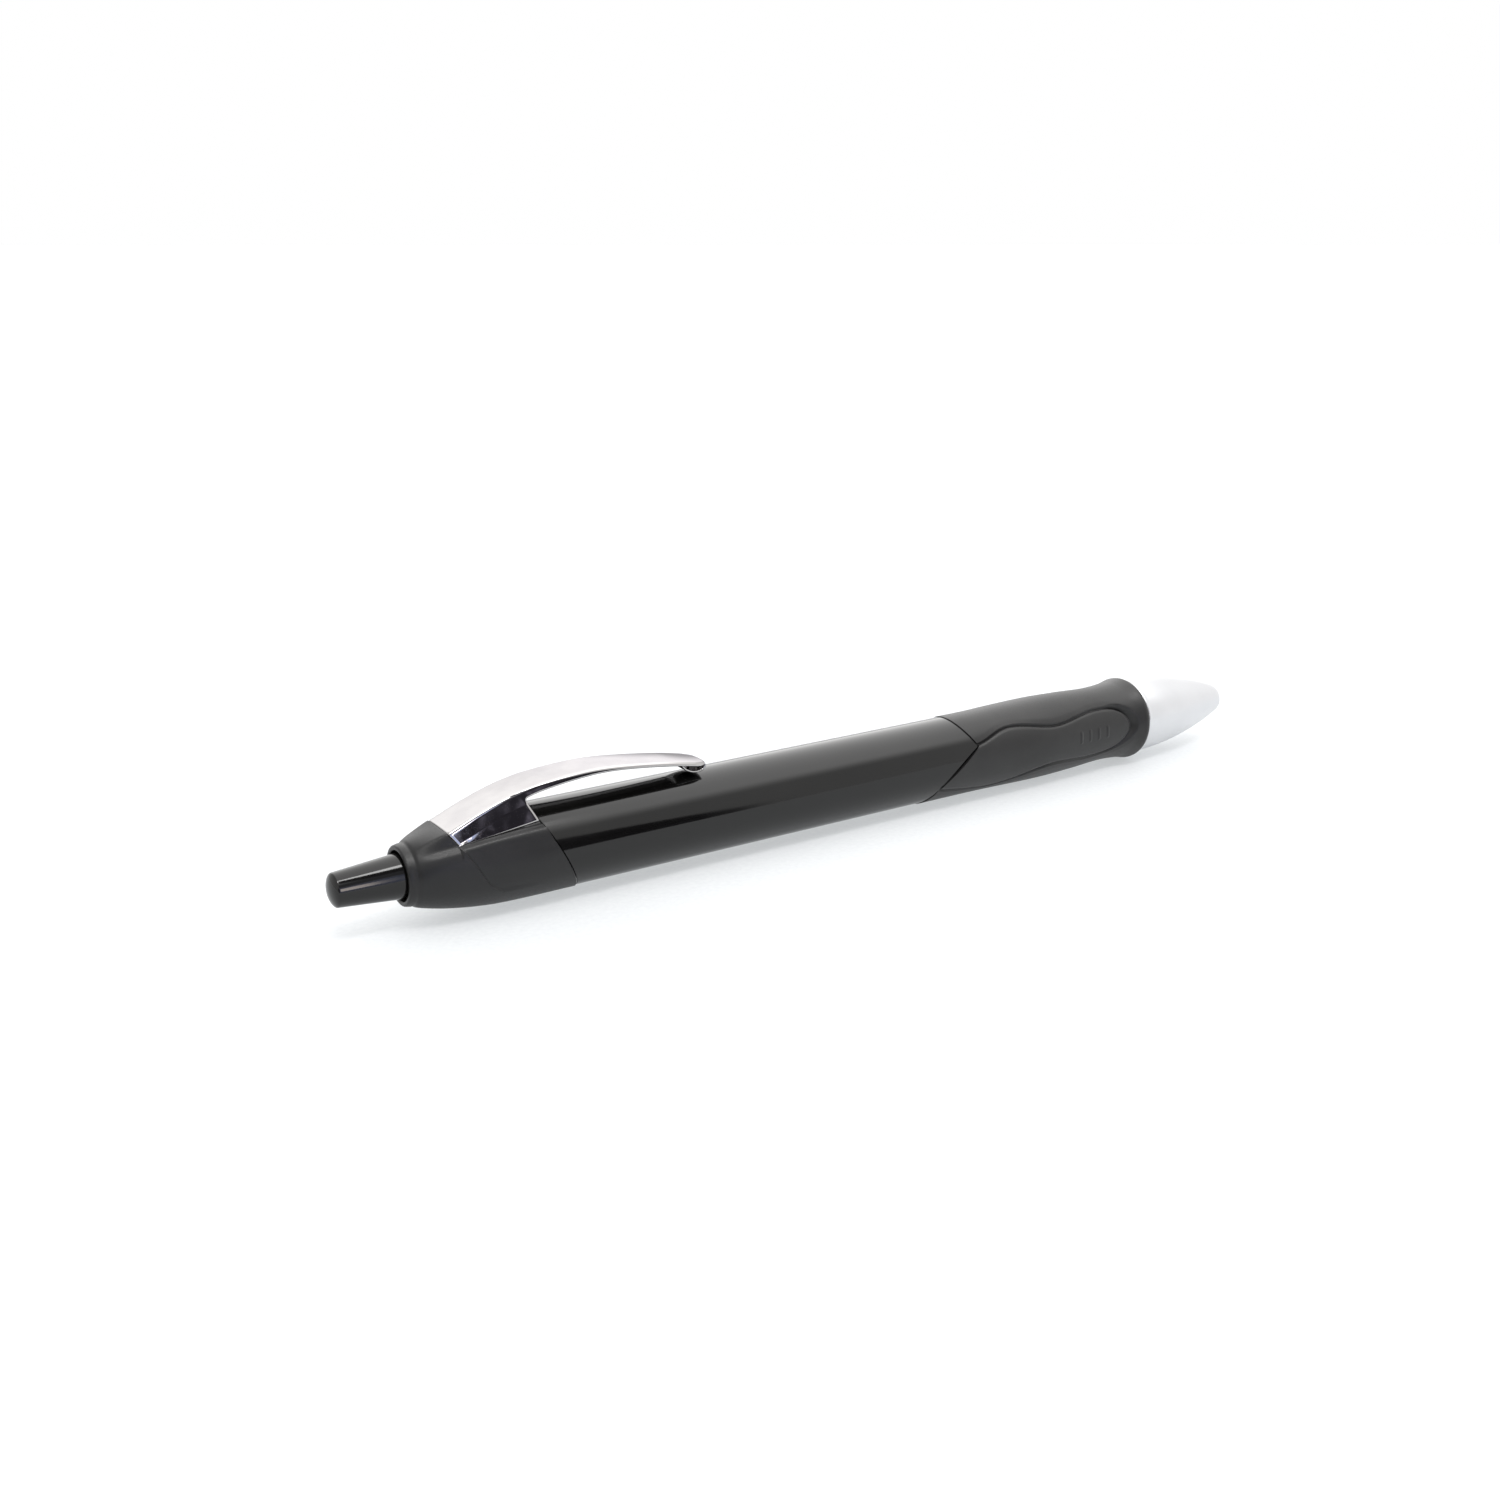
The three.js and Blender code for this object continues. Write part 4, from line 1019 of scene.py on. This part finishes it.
class Sky:
    """The studio round the pen, as a brightness for each direction that is looked in.

    Sideways is how far the direction leans across the pen, from -1 at the viewer's side to 1 beyond it.
    Turn is its heading seen from above, in radians: 0 is the viewer's side and positive is forward.
    """

    def __init__(self):
        world = bpy.data.worlds.new("studio")
        bpy.context.scene.world = world
        world.use_nodes = True
        self.tree = world.node_tree
        self.tree.nodes.clear()
        place = self.tree.nodes.new("ShaderNodeTexCoord")
        split = self.tree.nodes.new("ShaderNodeSeparateXYZ")
        self.direction = place.outputs["Generated"]
        self.tree.links.new(self.direction, split.inputs["Vector"])
        self.x, self.y, self.z = split.outputs
        squares = self.total(self.product(self.y, self.y), self.product(self.z, self.z))
        outward = self.calculate("MAXIMUM", self.calculate("SQRT", squares), 0.001)
        self.sideways = self.calculate("DIVIDE", self.y, outward)
        self.turn = self.calculate("ARCTAN2", self.x, self.product(self.y, -1.0))

    def calculate(self, operation, *values):
        """The result of one step of arithmetic on sockets or numbers."""
        node = self.tree.nodes.new("ShaderNodeMath")
        node.operation = operation
        for socket, value in zip(node.inputs, values):
            if isinstance(value, (int, float)):
                socket.default_value = value
            else:
                self.tree.links.new(value, socket)
        return node.outputs["Value"]

    def product(self, first, *others):
        """Everything multiplied together."""
        for other in others:
            first = self.calculate("MULTIPLY", first, other)
        return first

    def total(self, first, *others):
        """Everything added up."""
        for other in others:
            first = self.calculate("ADD", first, other)
        return first

    def rise(self, value, low, high):
        """0 below low, 1 above high, smooth between; falls the same way where low is the larger."""
        node = self.tree.nodes.new("ShaderNodeMapRange")
        node.interpolation_type = "SMOOTHSTEP"
        node.inputs["From Min"].default_value = low
        node.inputs["From Max"].default_value = high
        self.tree.links.new(value, node.inputs["Value"])
        return node.outputs["Result"]

    def window(self, value, low, high, softness):
        """1 between low and high, falling to 0 outside them."""
        above = self.rise(value, low - softness, low)
        beyond = self.rise(value, high, high + softness)
        return self.product(above, self.calculate("SUBTRACT", 1.0, beyond))

    def noise(self, scale, detail):
        node = self.tree.nodes.new("ShaderNodeTexNoise")
        node.inputs["Scale"].default_value = scale
        node.inputs["Detail"].default_value = detail
        self.tree.links.new(self.direction, node.inputs["Vector"])
        return node.outputs["Fac"]

    def light(self, colour, strength):
        """Light of one colour, whose strength is a number or a socket."""
        node = self.tree.nodes.new("ShaderNodeBackground")
        node.inputs["Color"].default_value = (*colour, 1)
        if isinstance(strength, (int, float)):
            node.inputs["Strength"].default_value = strength
        else:
            self.tree.links.new(strength, node.inputs["Strength"])
        return node.outputs["Background"]

    def mixed(self, amount, first, second):
        """The first light where the amount is 0 and the second where it is 1."""
        node = self.tree.nodes.new("ShaderNodeMixShader")
        self.tree.links.new(amount, node.inputs["Fac"])
        self.tree.links.new(first, node.inputs[1])
        self.tree.links.new(second, node.inputs[2])
        return node.outputs["Shader"]


def white_tent(studio):
    """White all round, brighter overhead and beyond the nose, with one strip light on the viewer's side."""
    overhead_strength, end_wall_strength, strip_strength = 1.5, 0.22, 11.0
    rear_gain, added_gain = 0.8, 0.35
    forward = studio.rise(studio.x, low=0.25, high=0.5)
    forward_gain = studio.total(studio.product(forward, added_gain), rear_gain)
    overhead = studio.product(
        studio.rise(studio.sideways, low=-0.75, high=-0.42),
        studio.window(studio.x, low=-0.1, high=0.6, softness=0.14),
        studio.rise(studio.z, low=0.03, high=0.2),
        forward_gain,
        overhead_strength,
    )
    end_wall = studio.product(studio.rise(studio.x, low=0.6, high=0.75), end_wall_strength)
    strip = studio.product(
        studio.window(studio.sideways, low=-0.42, high=-0.27, softness=0.04),
        studio.window(studio.x, low=-0.25, high=0.34, softness=0.08),
        strip_strength,
    )
    return studio.light((1.0, 0.995, 0.99), studio.total(1.0, overhead, end_wall, strip))


def dark_slot(studio, height):
    """Where the tent is parted, forward of the viewer; its upper edge falls away forward."""
    middle_turn, slope = 0.5, 4.0
    edge_height = studio.total(height, studio.product(studio.total(studio.turn, -middle_turn), slope))
    return studio.product(
        studio.rise(studio.turn, low=0.18, high=0.2),
        studio.rise(edge_height, low=0.33, high=0.29),
        studio.rise(studio.turn, low=0.565, high=0.535),
        studio.rise(studio.z, low=-0.16, high=-0.12),
    )


def viewer_opening(studio, height):
    """Where the tent is open behind the viewer."""
    upright = studio.window(height, low=-0.12, high=0.32, softness=0.05)
    return studio.product(upright, studio.window(studio.turn, low=-1.0, high=-0.3, softness=0.06))


def dim_room(studio):
    """The dim room seen through the openings, a little blotchy."""
    blotch_strength, least_strength = 0.25, 0.04
    blotches = studio.rise(studio.noise(scale=22, detail=3), low=0.5, high=0.75)
    strength = studio.total(studio.product(blotches, blotch_strength), least_strength)
    return studio.light((0.85, 0.8, 1.0), strength)


def panel(studio, seen, upright, level, colour, strength):
    """Adds an upright panel: upright is its extent in height and level in turn, as (low, high, softness)."""
    covered = studio.product(studio.window(studio.z, *upright), studio.window(studio.turn, *level))
    return studio.mixed(covered, seen, studio.light(colour, strength))


def sky():
    """A white tent, brightest above and beyond the pen, with dim openings on the viewer's side."""
    studio = Sky()
    raggedness = 0.24
    ragged = studio.calculate("MULTIPLY_ADD", studio.noise(scale=70, detail=3), raggedness, -raggedness / 2)
    height = studio.total(studio.z, ragged)
    opening = studio.calculate("MAXIMUM", dark_slot(studio, height), viewer_opening(studio, height))
    seen = studio.mixed(opening, white_tent(studio), dim_room(studio))
    panels = {
        "doorway": ((-0.12, 0.42, 0.06), (-0.2, 0.18, 0.02), (0.6, 0.68, 1.0), 1.3),
        "lintel": ((0.5, 0.68, 0.05), (-0.3, 0.3, 0.05), (0.9, 0.9, 1.0), 0.4),
        "lamp": ((0.1, 0.32, 0.05), (0.09, 0.135, 0.015), (1.0, 0.9, 0.84), 8.0),
    }
    for upright, level, colour, strength in panels.values():
        seen = panel(studio, seen, upright, level, colour, strength)

    ray = studio.tree.nodes.new("ShaderNodeLightPath")
    backdrop = studio.light((1, 1, 1), 1.0)
    output = studio.tree.nodes.new("ShaderNodeOutputWorld")
    surface = studio.mixed(ray.outputs["Is Camera Ray"], seen, backdrop)
    studio.tree.links.new(surface, output.inputs["Surface"])


def camera():
    """The viewpoint: behind the button, to the pen's right and above it; distances in millimetres."""
    tilt_down, heading = math.radians(17.55), math.radians(-33.67)
    behind, aside, above = 123.2, 160.7, 67.6
    data = bpy.data.cameras.new("camera")
    data.sensor_width = 36
    data.lens = 38.4
    data.clip_start = 0.01
    viewer = bpy.data.objects.new("camera", data)
    viewer.location = Vector((-behind, -aside, above + AXIS_Z)) * MM
    viewer.rotation_euler = (math.pi / 2 - tilt_down, 0, heading)
    bpy.context.scene.collection.objects.link(viewer)
    bpy.context.scene.camera = viewer


def build_stage():
    camera()
    floor()
    sky()
    bpy.context.scene.view_settings.view_transform = "Standard"


def build_pen():
    looks = make_materials()
    push_button(looks)
    rear_cap(looks)
    clip(looks)
    barrel(looks)
    grip_sleeve(looks)
    grip_pad("grip_pad_left", -1, looks)
    grip_pad("grip_pad_right", 1, looks)
    nose_cone(looks)
    refill_point(looks)
    writing_ball(looks)
    return_spring(looks)
    finish_inner_nodes(looks)


build_stage()
build_pen()
